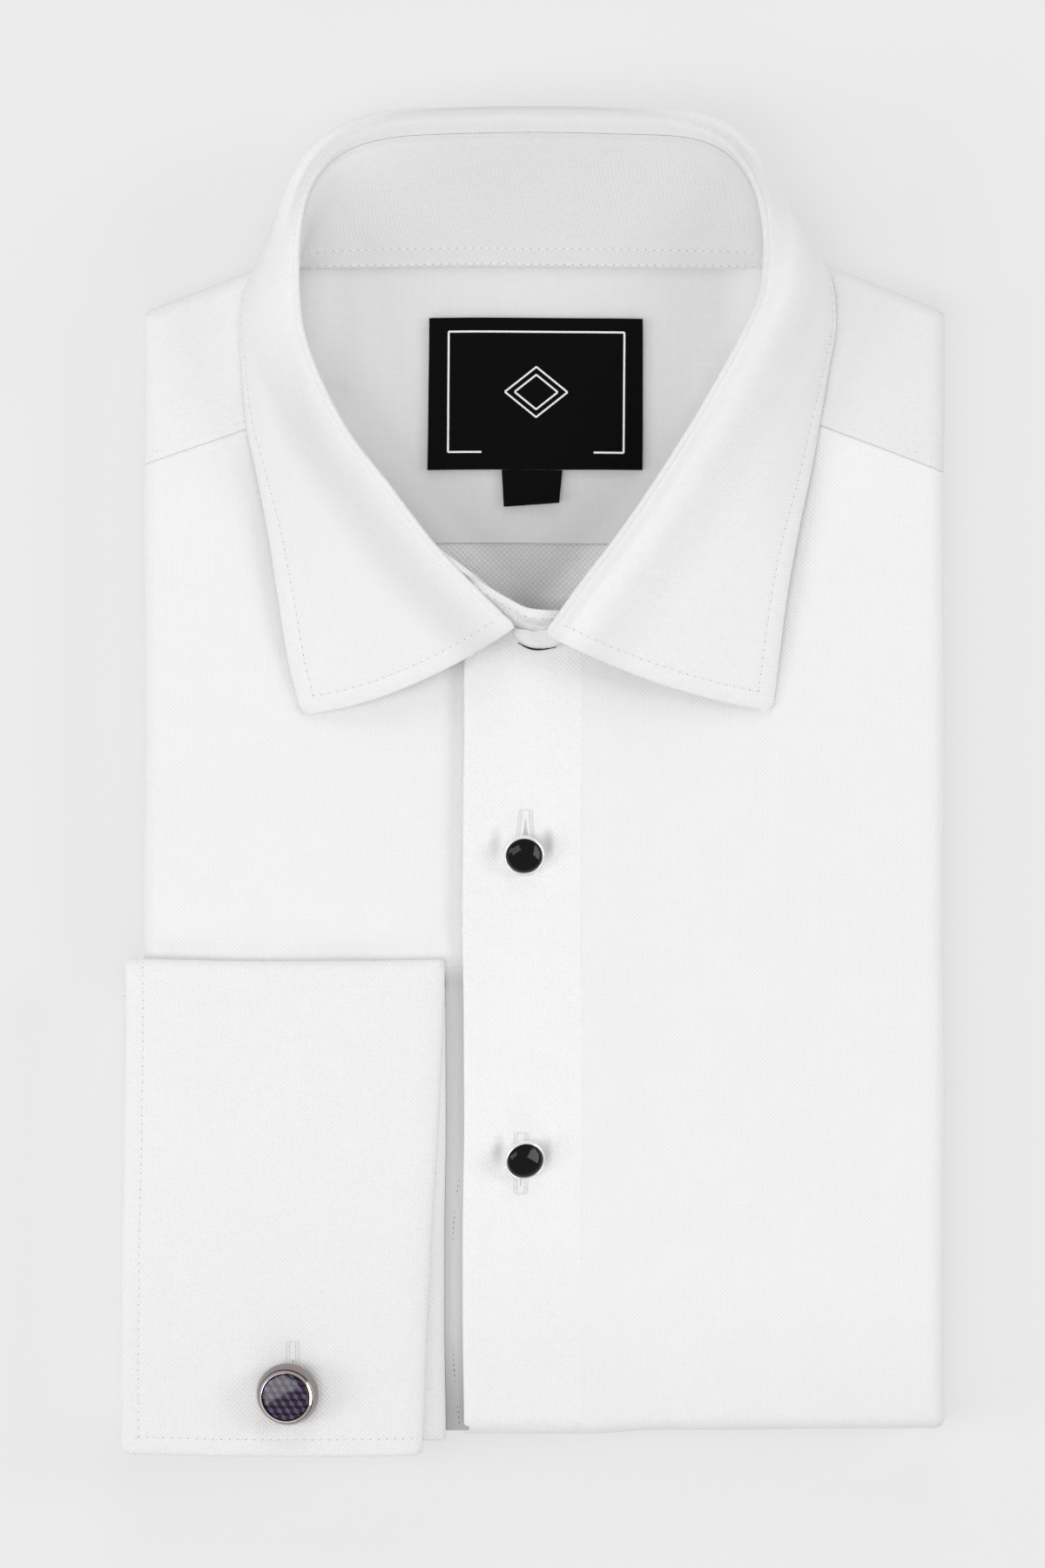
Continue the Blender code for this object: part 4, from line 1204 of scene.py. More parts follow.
def make_fall():
    """The fall, in one with both its leaves, and the stitches along its outer edge and its two ends."""
    grid = spread(softened(fall_grid(), BACK_BEND, at_back), FALL_STEPS)
    from_right, from_left = reach(grid)
    inner, outer = reach_across(grid)
    near = np.minimum(np.minimum(from_right, from_left), outer)
    cloth = on_cloth(from_right, outer)
    grid = blunted(grid, from_right, outer, LEAF_POINT_RADIUS)
    grid = blunted(grid, from_left, outer, LEAF_POINT_RADIUS)
    fall = shell("collar_fall_cloth", grid, near, COLLAR_HALF, look("fall_pique"), ["collar_fall"], near,
                 cloth=cloth, bevel=4.0, edge=0.8)
    flap = smoothed(np.array([[[section.flap]] for section in collar_sections()]), SECTION_STEPS).ravel()
    flap = np.interp(np.linspace(0, 1, len(grid)), np.linspace(0, 1, len(flap)), flap)
    from_fold = (inner - flap[:, None]).ravel()
    fold = fall.made.data.attributes.new("fold", "FLOAT", "POINT")
    fold.data.foreach_set("value", np.tile(from_fold, 2).astype(np.float32))
    inside = (from_right[:, -1] >= EDGE_STITCH) & (from_left[:, -1] >= EDGE_STITCH)
    face, up = fall.face[:, ::-1].transpose(1, 0, 2), fall.up[:, ::-1].transpose(1, 0, 2)
    groups = sewn_row(face, up, outer[:, ::-1].T, EDGE_STITCH, inside)
    for distance, face, up, far in (
        (from_right, fall.face, fall.up, outer),
        (from_left[::-1], fall.face[::-1], fall.up[::-1], outer[::-1]),
    ):
        off = line_at(np.repeat(far[..., None], 3, axis=2), distance, EDGE_STITCH)[:, 0]
        keep = (off >= EDGE_STITCH) & (off < off.max() - 4.0)
        groups += sewn_row(face, up, distance, EDGE_STITCH, keep)
    return groups


BAND_TOP_STITCH = 1.5
BAND_END_STITCHED = 70.0
BAND_OUTSIDE_STITCH, BAND_OUTSIDE_STITCHED = 2.4, 34.0
BAND_BULGE = 0.2
BAND_NECK_STITCHES = (1.1, 5.9)


def make_band():
    """The band, from the end that lies over at the front to the one under it, and its rows of stitches."""
    lines = [(end.seam, end.top) for end in OVER_END]
    ends = len(collar_sections()[2:-1])
    for section in reversed(collar_sections()[2:-1]):
        down = (section.seam - section.roll).normalized()
        top = section.roll + down * (section.flap + 0.12)
        lines.append((section.seam[:], top[:]))
    lines += [(end.seam, end.top) for end in UNDER_END]
    lines = np.array(lines)
    shares = np.linspace(0, 1, 15)[None, :, None]
    bulge = np.full((len(lines), 1, 3), 1.0)
    bulge[: len(OVER_END), :, 2] = bulge[len(OVER_END) + ends :, :, 2] = BAND_BULGE
    rise = shares ** bulge
    grid = smoothed(lines[:, :1] * (1 - rise) + lines[:, 1:] * rise, SECTION_STEPS)

    def bent(line):
        """The band bends less sharply towards its upper edge."""
        return at_back(line) * (0.12 + 0.88 * eased(line[:, 2], 22.0, 35.0))

    grid = softened(grid, BACK_BEND, bent)
    grid = spread(grid.transpose(1, 0, 2), 16)
    grid = spread(grid.transpose(1, 0, 2), 300)
    over, under = reach(grid)
    low, high = reach_across(grid)
    near = np.minimum(np.minimum(over, under), low)
    cloth = on_cloth(over, low)
    for start in (over, under):
        for side in (low, high):
            grid = blunted(grid, start, side, 1.6)
    band = shell("collar_band_cloth", grid, near, COLLAR_HALF, look("band_pique"), ["collar_band"], high,
                 BAND_TOP_STITCH, cloth)
    groups = []
    face, up = band.face.transpose(1, 0, 2), band.up.transpose(1, 0, 2)
    for distance in BAND_NECK_STITCHES:
        groups += sewn_row(face, up, low.T, distance, slice(12, -12))
    face, up, high = face[::-1], up[::-1], high.T[::-1]
    for distance in (over[:, 0], under[:, 0]):
        at_end = np.nonzero((distance > 3.0) & (distance < BAND_END_STITCHED))[0]
        groups += sewn_row(face, up, high, BAND_TOP_STITCH, at_end)
    at_end = np.nonzero(under[:, 0] < BAND_OUTSIDE_STITCHED)[0][:-8]
    groups += sewn_row(face - up * (2 * COLLAR_HALF), -up, high, BAND_OUTSIDE_STITCH, at_end)
    return groups + neck_gap_shadow()


NECK_GAP_SHADOW = ((-4.0, 39.1), (-2.0, 38.1), (0.2, 37.5), (3.2, 37.5), (6.3, 38.1))


def neck_gap_shadow():
    """Painted shadow in the gap under the front end of the band, where it stands off the placket: near-black
    threads laid in it.
    """
    line = settle(smoothed([(*point, PLACKET_TOP + 0.7) for point in NECK_GAP_SHADOW], 6))
    along = np.gradient(line, axis=0)
    share = 1 - np.abs(np.linspace(-1, 1, len(line)))
    up = upward(line)
    groups = []
    for low, high, radius in ((0.0, 0.3, 0.14), (0.3, 0.6, 0.22), (0.6, 1.1, 0.29)):
        keep = (share >= low) & (share < high)
        groups.append(Threads(line[keep], along[keep], up[keep], 0.42, radius, 2))
    return groups


def make_collar():
    band_groups, fall_groups = make_band(), make_fall()
    thread_mesh("collar_band_stitches", band_groups, [*sewing(), material("gap_shade")], "pique")
    thread_mesh("collar_fall_stitches", fall_groups, sewing(), "pique")


# Body


def seam_point(seam, x, lift=0.0):
    """The point at x on a yoke seam, moved up the shirt by lift."""
    (x0, y0), (x1, y1) = seam
    return (x, y0 + (y1 - y0) * (x - x0) / (x1 - x0) + lift)


def lobe_levels(lobe, angles):
    """(inset, height) of points round a lobe, at these angles in degrees from level."""
    radius = (lobe.top - lobe.bottom) / 2
    middle = (lobe.top + lobe.bottom) / 2
    levels = []
    for angle in map(math.radians, angles):
        levels.append((lobe.inset + radius * (1 - math.cos(angle)), middle + radius * math.sin(angle)))
    return levels


SIDE_CUTS, SHORT_SIDE = 72, 12
CORE_MIDDLE_Y = -20.0


def make_folded_layers():
    """The hidden backs, tails and sleeves as one rounded solid, layered at its edge, flat underneath."""
    outline = ((SIDE_RIGHT, HEM_FOLD), (SIDE_LEFT, HEM_FOLD), *SHOULDER_LEFT, *reversed(SHOULDER_RIGHT))
    levels = [(BOTTOM_LOBE.inset + 4.4, BOTTOM_LOBE.bottom), (BOTTOM_LOBE.inset + 4.0, BOTTOM_LOBE.bottom)]
    levels += lobe_levels(BOTTOM_LOBE, range(-70, 71, 10))
    levels.append((CREASE_INSET, (BOTTOM_LOBE.top + MIDDLE_LOBE.bottom) / 2))
    levels += lobe_levels(MIDDLE_LOBE, range(-70, 91, 10))
    levels += [(GROOVE_INSET, MIDDLE_LOBE.top), (GROOVE_INSET, TOP_LOBE.bottom)]
    levels += lobe_levels(TOP_LOBE, range(-90, 91, 10))
    levels.append((levels[-1][0] + 0.4, TOP_LOBE.top))
    rings = []
    for inset, height in levels:
        loop = [Vector(point) for point in loop_at(outline, inset, True)]
        ring = []
        for a, b in zip(loop, loop[1:] + loop[:1]):
            cuts = SIDE_CUTS if (b - a).length > SHORT_SIDE else 1
            ring += [a.lerp(b, k / cuts) for k in range(cuts)]
        rings.append(([point[:] for point in ring], height))
    count = len(rings[0][0])
    points, flat = [], []
    run, last = 0.0, None
    centre = np.array([(SIDE_RIGHT + SIDE_LEFT) / 2, CORE_MIDDLE_Y])
    for j, (ring, height) in enumerate(rings):
        ring = np.array(ring)
        steps = np.linalg.norm(np.roll(ring, -1, axis=0) - ring, axis=1)
        along = np.concatenate([[0.0], np.cumsum(steps)[:-1]])
        if j:
            run += math.hypot(height - rings[j - 1][1], float(np.linalg.norm(ring[0] - last)))
        last = ring[0]
        loose = 0.28 * np.sin(along / 13.0 + height / 2.1) + 0.16 * np.sin(along / 5.3 + height)
        inward = (centre - ring) / np.linalg.norm(centre - ring, axis=1, keepdims=True)
        soft = float(eased(height, 0.0, 3.0)) * (1 - float(eased(height, 9.5, 11.0)))
        ring = ring + inward * (loose * soft)[:, None]
        for place, distance in zip(ring, along):
            points.append((*place, height))
            flat.append((*place, 0.0) if j in (0, len(rings) - 1) else (distance, run, 0.0))
    faces = []
    for j in range(len(rings) - 1):
        for k in range(count):
            a, b = j * count + k, j * count + (k + 1) % count
            faces.append((a, b, b + count, a + count))
    faces.append(tuple(range(count)))
    faces.append(tuple(range(len(points) - count, len(points))))
    piece("folded_layers_cloth", points, faces, flat, *look("diamond_pique"), ["folded_layers"])


# Heights between which a change to a panel's upper side comes in
NEAR_TOP = (17.0, 19.3)
LEAF_EDGE_Y, LEAF_EDGE_X = (19.0, 52.0, 87.5, 102.0), (67.6, 73.0, 79.5, 82.4)


def under_leaf(points):
    """How far a front sinks along the outer edge of the leaf that lies on it."""
    x, y, _ = points.T
    beyond = np.abs(x) - np.interp(y, LEAF_EDGE_Y, LEAF_EDGE_X)
    return 0.85 * np.exp(-((beyond / 5.0) ** 2)) * eased(y, 22.0, 45.0) * (1 - eased(y, 88.0, 99.0))


FRONT_LEFT_START = PLACKET_X[1] - 0.2
SLOPE_RIGHT, SLOPE_LEFT = (
    (neck_y - side_y) / abs(neck_x - side_x)
    for (side_x, side_y), (neck_x, neck_y) in (YOKE_SEAM_RIGHT, YOKE_SEAM_LEFT)
)


def make_fronts():
    neck = neck_line(-1)
    (_, _), seam_end = YOKE_SEAM_RIGHT
    rest = [(FRONTS_MEET, NECK_FRONT)]
    rest += [point for point in neck if point.y < seam_end[1]]
    rest += [seam_end, seam_point(YOKE_SEAM_RIGHT, SIDE_RIGHT + SEAM_START)]
    path = (YOKE_SEAM_RIGHT[0], (SIDE_RIGHT, HEM_FOLD), (FRONTS_MEET, HEM_FOLD))

    def pressed_down(points):
        """The right front dips where the placket and the top of the cuff lie on it."""
        x, y, z = points.T
        beside = 1.25 * np.exp(-(((x - PLACKET_X[0]) / 4.0) ** 2)) * eased(y, -60.0, -46.0)
        above = 1.6 * np.exp(-(((y - CUFF_FOLD + 0.5) / 4.4) ** 2)) * (1 - eased(x, -30.0, -22.0))
        above *= (0.75 + 0.25 * np.sin(x / 9.0 + 0.8)) * (1 - 0.4 * eased(x, -54.0, -34.0))
        points[:, 2] -= np.maximum(np.maximum(beside, above), under_leaf(points)) * eased(z, *NEAR_TOP)
        return points

    folded_panel("front_right", path, rest, *look("front_pique"), raised=pressed_down,
                 slopes=(SLOPE_RIGHT, 0))

    neck = [point for point in reversed(neck_line(1)) if point.x > FRONT_LEFT_START + 2]
    (_, _), seam_end = YOKE_SEAM_LEFT
    rest = [seam_point(YOKE_SEAM_LEFT, SIDE_LEFT - SEAM_START), seam_end]
    rest += [point for point in neck if point.y < seam_end[1]]
    rest.append((FRONT_LEFT_START, 50.0))
    path = ((FRONT_LEFT_START, HEM_FOLD), (SIDE_LEFT, HEM_FOLD), YOKE_SEAM_LEFT[0])

    def onto_placket(points):
        """The left front runs up to the placket that is sewn to it."""
        near = 1 - eased(points[:, 0], FRONT_LEFT_START, FRONT_LEFT_START + 26)
        points[:, 2] += (1.47 * near - under_leaf(points)) * eased(points[:, 2], 12.5, 19.3)
        points[:, 1] -= 1.4 * near * (1 - eased(points[:, 1], HEM_FOLD, HEM_FOLD + 30))
        return points

    folded_panel("front_left", path, rest, *look("front_pique"), raised=onto_placket, soft=False,
                 slopes=(0, SLOPE_LEFT))
    make_strip()


YOKE_LIFT = 0.45


def over_front(seam):
    """The folded edge of a yoke lies a little over the front that is sewn under it."""

    def raised(points):
        (x0, y0), (x1, y1) = seam
        above = points[:, 1] - (y0 + (y1 - y0) * (points[:, 0] - x0) / (x1 - x0))
        edge = YOKE_LIFT * (1 - eased(above, 0.0, 9.0))
        edge = edge - 0.16 * np.exp(-(((above - TOPSTITCH_LIFT) / 0.6) ** 2))
        points[:, 2] += edge * eased(points[:, 2], *NEAR_TOP)
        return points

    return raised


YOKE_STITCHES_FROM, YOKE_STITCHES_TO = 4.0, 72.0


def make_yokes():
    """Both yokes, each folded under at the shoulder and topstitched where it lies over the front."""
    groups = []
    for side, name, cloth, seam, edge, shoulder, neck_x, slope in (
        (-1, "yoke_right", "collar_pique", YOKE_SEAM_RIGHT, SIDE_RIGHT, SHOULDER_RIGHT, YOKE_NECK_RIGHT,
         SLOPE_RIGHT),
        (1, "yoke_left", "shaded_yoke_pique", YOKE_SEAM_LEFT, SIDE_LEFT, SHOULDER_LEFT, YOKE_NECK_LEFT,
         SLOPE_LEFT),
    ):
        (_, seam_y), seam_end = seam
        corner, top = shoulder
        rest = [
            seam_point(seam, edge - side * SEAM_START, SEAM_GAP),
            seam_point(seam, seam_end[0], SEAM_GAP),
        ]
        rest += [point for point in neck_line(side) if point.y > seam_end[1]]
        path = [(neck_x, top[1]), top, corner, (edge, seam_y + SEAM_GAP)]
        way = -side
        folded_panel(name, path[::way], rest[::way], *look(cloth), raised=over_front(seam),
                     slopes=(0, slope)[::way])
        xs = np.linspace(edge - side * YOKE_STITCHES_FROM, side * YOKE_STITCHES_TO, 40)
        line = [(*seam_point(seam, x, TOPSTITCH_LIFT), PANEL_TOP) for x in xs]
        line = over_front(seam)(np.array(line))
        groups += seam_threads(settle(line), upward(line))
    thread_mesh("yoke_stitches", groups, sewing(), "pique")


# How far the placket stands up beside its free edge, and how wide that is
PLACKET_LIFT, PLACKET_LIFT_WIDTH = 1.2, 7.0
# Where a stud pulls the placket down beside it: middle and depth of each dimple, and the size of all
DIMPLE_HALF_WIDTH, DIMPLE_HALF_LENGTH = 1.7, 3.4
DIMPLES = ((-10.3, -18.5, 0.9), (4.8, -19.0, 0.9), (-10.2, -107.0, 0.9), (4.1, -107.2, 0.7))
# Heights between which the round hem fold of the placket turns into its upper side
PLACKET_UPPER = (12.0, 21.0)


def make_placket():
    left, right = PLACKET_X
    radius = FOLD_RADIUS + GAP + CLOTH
    middle = radius - CLOTH / 2
    centre_y, centre_z = HEM_FOLD - GAP - CLOTH + radius, PLACKET_TOP - radius
    profile = [(y, centre_z + middle) for y in np.linspace(PLACKET_END, centre_y, 210)]
    for angle in np.linspace(0, PLACKET_SWEEP, 22)[1:]:
        profile.append((centre_y - middle * math.sin(angle), centre_z + middle * math.cos(angle)))
    xs = places(right - left, 30)
    grid = np.array([[(left + x, y, z) for x in xs] for y, z in profile])
    near, _ = reach(grid.transpose(1, 0, 2))
    near = near.T
    lift = PLACKET_LIFT * (1 - 0.5 * eased(-grid[..., 1], 50.0, 64.0))
    grid[..., 2] += lift * np.exp(-((near / PLACKET_LIFT_WIDTH) ** 2)) * eased(grid[..., 2], *PLACKET_UPPER)
    for x, y, depth in DIMPLES:
        away = ((grid[..., 0] - x) / DIMPLE_HALF_WIDTH) ** 2 + ((grid[..., 1] - y) / DIMPLE_HALF_LENGTH) ** 2
        grid[..., 2] -= depth * np.exp(-away) * eased(grid[..., 2], *PLACKET_UPPER)
    run, _ = reach(grid)
    shell("placket_cloth", grid, near, CLOTH / 2, look("placket_pique"), ["placket"],
          cloth=on_cloth(grid[..., 0], -run))


def make_neck_inside():
    """The inside of the back and the yoke lining."""
    inset = 2 * GAP
    right = [point + Vector((inset, 0)) for point in neck_line(-1)]
    left = [point - Vector((inset, 0)) for point in neck_line(1)]
    bottom, top = CORE_TOP + GAP, PANEL_TOP

    def at(line, height):
        for low, high in zip(line, line[1:]):
            if low.y <= height <= high.y:
                return low.lerp(high, (height - low.y) / (high.y - low.y))
        return line[-1]

    below, above = LINING_END - SEAM_GAP / 2, LINING_END + SEAM_GAP / 2
    back = [point for point in left if point.y < below] + [at(left, below), at(right, below)]
    back += [point for point in reversed(right) if point.y < below]
    flat_panel("back_inside", back, bottom, top - 0.5, *look("inside_pique"), soft=False)
    lining = [at(left, above)] + [point for point in left if above < point.y < NECK_BACK]
    lining += [Vector((left[-1].x, LINING_BACK)), Vector((right[-1].x, LINING_BACK))]
    lining += [point for point in reversed(right) if above < point.y < NECK_BACK] + [at(right, above)]
    flat_panel("yoke_lining", lining, bottom, top, *look("yoke_lining_cotton", "lining"))


# Label and size tab

LABEL_X, LABEL_Y = (-30.0, 31.25), (89.0, 132.5)
TAB_X, TAB_Y = (-8.9, 8.5), (78.9, 88.9)
LABEL_REST = PANEL_TOP + 0.9
LABEL_HALF = 0.5
LABEL_FRAME_X, LABEL_FRAME_Y = (-24.4, 26.0), (94.0, 128.5)
FRAME_STUBS = (9.6, 8.6)
LOZENGES = (9.0, 6.2)
# Pitch and half length of the frame's threads, and their radius in the frame and in the lozenges
FRAME_PITCH, FRAME_HALF = 0.42, 0.34
FRAME_THREAD, LOZENGE_THREAD = 0.24, 0.22


def tape_wave(x, y):
    """How far a tape stands up where it isn't quite flat."""
    return 0.12 * np.sin(x / 9.0 + y / 14.0)


def tape(name, node, x, y, skew, curl, slant):
    """A piece of label tape lying on the lining.

    Towards its lower edge it narrows by skew at each side, its right corner curls up and it hangs aslant.
    """
    grid, near, across, up = level_grid(x, y, LABEL_REST + LABEL_HALF, columns=26, rows=18, fine=9)
    share = up / (y[1] - y[0])
    grid[..., 0] += skew * (1 - share) * (1 - 2 * across / (x[1] - x[0]))
    grid[..., 2] += curl * (1 - share) ** 2 * (0.3 + 0.7 * across / (x[1] - x[0]))
    grid[..., 2] += tape_wave(grid[..., 0], grid[..., 1])
    grid[..., 1] += slant * (1 - share) * (across / (x[1] - x[0]) - 0.5)
    shell(name, grid, near, LABEL_HALF, look("label_tape", "label"), [node], cloth=on_cloth(across, up))


def bars(start, end, across, pitch, half, radius, height, tone=0):
    """Short threads side by side, each lying across the way from start to end."""
    start, end = np.array(start, float), np.array(end, float)
    count = max(int(np.linalg.norm(end - start) / pitch), 2)
    shares = (np.arange(count) + 0.5)[:, None] / count
    centres = start + (end - start) * shares
    level = height(centres[:, 0], centres[:, 1]) if callable(height) else np.full(count, height)
    centres = settle(np.column_stack([centres, level]))
    along = np.tile((*across, 0.0), (count, 1))
    return Threads(centres, along, upward(centres), half, radius, tone)


def make_label():
    """The label with its woven frame and a plain lozenge, and the size tab under it."""
    tape("label_cloth", "label", LABEL_X, LABEL_Y, skew=-0.25, curl=0.0, slant=0.25)
    tape("size_tab_cloth", "size_tab", TAB_X, TAB_Y, skew=0.75, curl=1.1, slant=1.2)
    (x0, x1), (y0, y1) = LABEL_FRAME_X, LABEL_FRAME_Y

    def level(x, y):
        return LABEL_REST + 2 * LABEL_HALF + 0.06 + tape_wave(x, y)

    def satin(start, end, across, radius=FRAME_THREAD):
        return bars(start, end, across, FRAME_PITCH, FRAME_HALF, radius, level)

    upright, level_way = (0.0, 1.0), (1.0, 0.0)
    groups = [
        satin((x0, y1), (x1, y1), upright),
        satin((x0, y0), (x0, y1), level_way),
        satin((x1, y0), (x1, y1), level_way),
        satin((x0, y0), (x0 + FRAME_STUBS[0], y0), upright),
        satin((x1 - FRAME_STUBS[1], y0), (x1, y0), upright),
    ]
    middle_x, middle_y = (x0 + x1) / 2, (y0 + y1) / 2
    for size in LOZENGES:
        corners = [(middle_x + size * dx, middle_y + size * 0.8 * dy) for dx, dy in
                   ((1, 0), (0, 1), (-1, 0), (0, -1), (1, 0))]
        groups += [satin(start, end, upright, LOZENGE_THREAD) for start, end in zip(corners, corners[1:])]
    thread_mesh("label_frame", groups, [material("label_frame_thread")], "label")


# Cuff and sleeve


def cuff_belly(x, y):
    """How far the turned-back layer of the cuff stands up between its edges."""
    down = np.clip((CUFF_FOLD - y) / (CUFF_FOLD - CUFF_END), 0, 1)
    side = np.clip((x + 118.0) / 90.0, 0, 1)
    return 0.75 * np.sin(math.pi * down ** 0.7) * np.sin(math.pi * side) ** 0.8


CUFF_ROUND, CUFF_DROP = 8.0, 2.8
CUFF_RAISE = 0.3
# How far from the placket's side and from the fold the cuff's rows of stitches end
CUFF_ROW_ENDS = (2.5, 7.5)


def make_cuff():
    """Both layers of the double cuff: the turned-back one folds over at the top."""
    fold_bend = (CUFF_TOP_LEVEL - CUFF_UNDER_LEVEL) / 2
    crown = CUFF_FOLD - CUFF_HALF - fold_bend
    profile = [(y, CUFF_TOP_LEVEL) for y in np.linspace(CUFF_END, crown, 80)[:-1]]
    for angle in np.linspace(math.pi / 2, -math.pi / 2, 17):
        height = (CUFF_TOP_LEVEL + CUFF_UNDER_LEVEL) / 2 + fold_bend * math.sin(angle)
        profile.append((crown + fold_bend * math.cos(angle), height))
    profile += [(crown - CUFF_LIP * k / 4, CUFF_UNDER_LEVEL) for k in range(1, 5)]
    lines = []
    for y, height in profile:
        down = (CUFF_FOLD - y) / (CUFF_FOLD - CUFF_END)
        start = CUFF_FREE_EDGE[0] + (CUFF_FREE_EDGE[1] - CUFF_FREE_EDGE[0]) * down
        end = CUFF_TURNED_EDGE[0] + (CUFF_TURNED_EDGE[1] - CUFF_TURNED_EDGE[0]) * down
        xs = np.linspace(start, end, 12)
        lift = cuff_belly(xs, np.full(12, y)) if height == CUFF_TOP_LEVEL else np.zeros(12)
        lines.append([(x, y, height + rise) for x, rise in zip(xs, lift)])
    lines = np.array(lines)
    lines[..., 1] += 0.35 * np.sin(lines[..., 0] / 31.0 + 0.5)
    lines[:79, :, 2] += CUFF_RAISE
    grid = spread(lines, 120)
    grid = spread(grid.transpose(1, 0, 2), 70).transpose(1, 0, 2)
    below, above = reach(grid)
    left, right = reach_across(grid)
    near = np.minimum(np.minimum(below, above), np.minimum(left, right))
    sewn = np.minimum(below, left)
    cloth = on_cloth(left, below)
    for side in (left, right):
        grid = blunted(grid, below, side, 2.0)
    short = np.clip(1 - right / CUFF_ROUND, 0, 1)
    upper = eased(grid[..., 2], CUFF_TOP_LEVEL - 0.6, CUFF_TOP_LEVEL - 0.1)
    grid[..., 2] -= CUFF_DROP * (1 - np.sqrt(1 - short * short)) * upper
    top = shell("cuff_top_cloth", grid, near, CUFF_HALF, look("cuff_pique"), ["cuff_top"], sewn, cloth=cloth)
    grid, near, across, up = level_grid(UNDER_X, UNDER_Y, CUFF_UNDER_LEVEL, columns=24, rows=36, fine=9)
    shell("cuff_under_cloth", grid, near, CUFF_HALF, look("shaded_under_pique"), ["cuff_under"],
          cloth=on_cloth(across, up), bevel=2.0)
    keep = (left[0] >= EDGE_STITCH) & (right[0] > CUFF_ROW_ENDS[0])
    groups = sewn_row(top.face, top.up, below, EDGE_STITCH, keep)
    keep = (below[:, 0] >= EDGE_STITCH) & (above[:, 0] > CUFF_ROW_ENDS[1])
    groups += sewn_row(top.face.transpose(1, 0, 2), top.up.transpose(1, 0, 2), left.T, EDGE_STITCH, keep)
    thread_mesh("cuff_stitches", groups, sewing(), "pique")


def make_sleeve():
    """The stretch of sleeve that comes round from behind to the cuff."""
    lines = [[(x, y, z) for y in np.linspace(*SLEEVE_Y, 40)] for x, z in SLEEVE_BENDS]
    grid = smoothed(lines, 6)
    grid = spread(grid, 24, FINE[:8], FINE[:8])
    grid = spread(grid.transpose(1, 0, 2), 60, FINE[:8], FINE[:8]).transpose(1, 0, 2)
    rise = eased(grid[..., 2], 2.0, 10.0) * (1 - eased(grid[..., 2], 18.0, 22.0))
    grid[..., 0] -= rise * (0.1 + 0.25 * np.sin(grid[..., 1] / 12.0) + 0.12 * np.sin(grid[..., 1] / 5.0))
    near = np.minimum(np.minimum(*reach(grid)), np.minimum(*reach_across(grid)))
    shell("sleeve_cloth", grid, near, SLEEVE_HALF, look("front_pique"), ["sleeve"])


def make_sleeve_and_cuff():
    make_cuff()
    make_sleeve()


# Strip of the sleeve's wrong side that shows between the cuff and the placket, grey with painted shade

STRIP_X, STRIP_Y = (-29.0, -18.6), (-186.6, -53.5)
STRIP_HALF = 0.3
STRIP_LINE = (
    (-20.7, -112.0), (-21.6, -119.0), (-22.6, -130.0), (-23.1, -145.0), (-22.6, -166.0), (-21.2, -184.5),
)


def make_strip():
    """The narrow strip beside the placket, grey with painted shade, with its seam."""
    level = PANEL_TOP + STRIP_HALF + 0.1
    grid, near, _, _ = level_grid(STRIP_X, STRIP_Y, level, columns=8, rows=60, fine=6)
    line_x, line_y = np.array(STRIP_LINE[::-1]).T
    seam_x = np.interp(grid[..., 1], line_y, line_x)
    grid[..., 2] += 0.25 * eased(grid[..., 0] - seam_x, -0.5, 0.3) * (1 - eased(grid[..., 1], -112.0, -100.0))
    grid[..., 2] -= 0.8 * eased(grid[..., 1], -60.0, STRIP_Y[1])
    cloth = on_cloth(grid[..., 0], grid[..., 1])
    shell("strip_cloth", grid, near, STRIP_HALF, look("strip_pique"), cloth=cloth)
    line = smoothed([(x - 0.15, y, level + STRIP_HALF) for x, y in STRIP_LINE], SECTION_STEPS)
    groups = seam_threads(settle(line), upward(line), pitch=1.5, length=0.8, radius=0.12, hole=0.15)
    thread_mesh("strip_stitches", groups, [material("shaded_strip_thread"), material("strip_hole_shade")], "pique")


# Buttonholes

Hole = namedtuple("Hole", "x low high pulled_at pull slit level")
Slit = namedtuple("Slit", "narrow wide half")
HOLES = (
    Hole(-2.1, -27.4, -8.6, -20.0, 1.1, Slit(-11.6, -15.8, 0.75), PLACKET_TOP),
    Hole(-3.5, -118.7, -101.2, -109.0, 0.5, Slit(-116.2, -113.2, 0.5), PLACKET_TOP),
    Hole(-68.7, -182.0, -160.2, -176.0, 0.3, Slit(-165.8, -167.2, 0.3), CUFF_TOP_LEVEL + CUFF_HALF),
)
HOLE_HALF_WIDTH = 1.72
# Satin of a buttonhole: pitch, half length and radius of its threads, and half length of those at its ends
SATIN_PITCH, SATIN_HALF, SATIN_RADIUS = 0.36, 0.42, 0.2
BAR_HALF = 0.45
SLIT_LEAST = 0.12


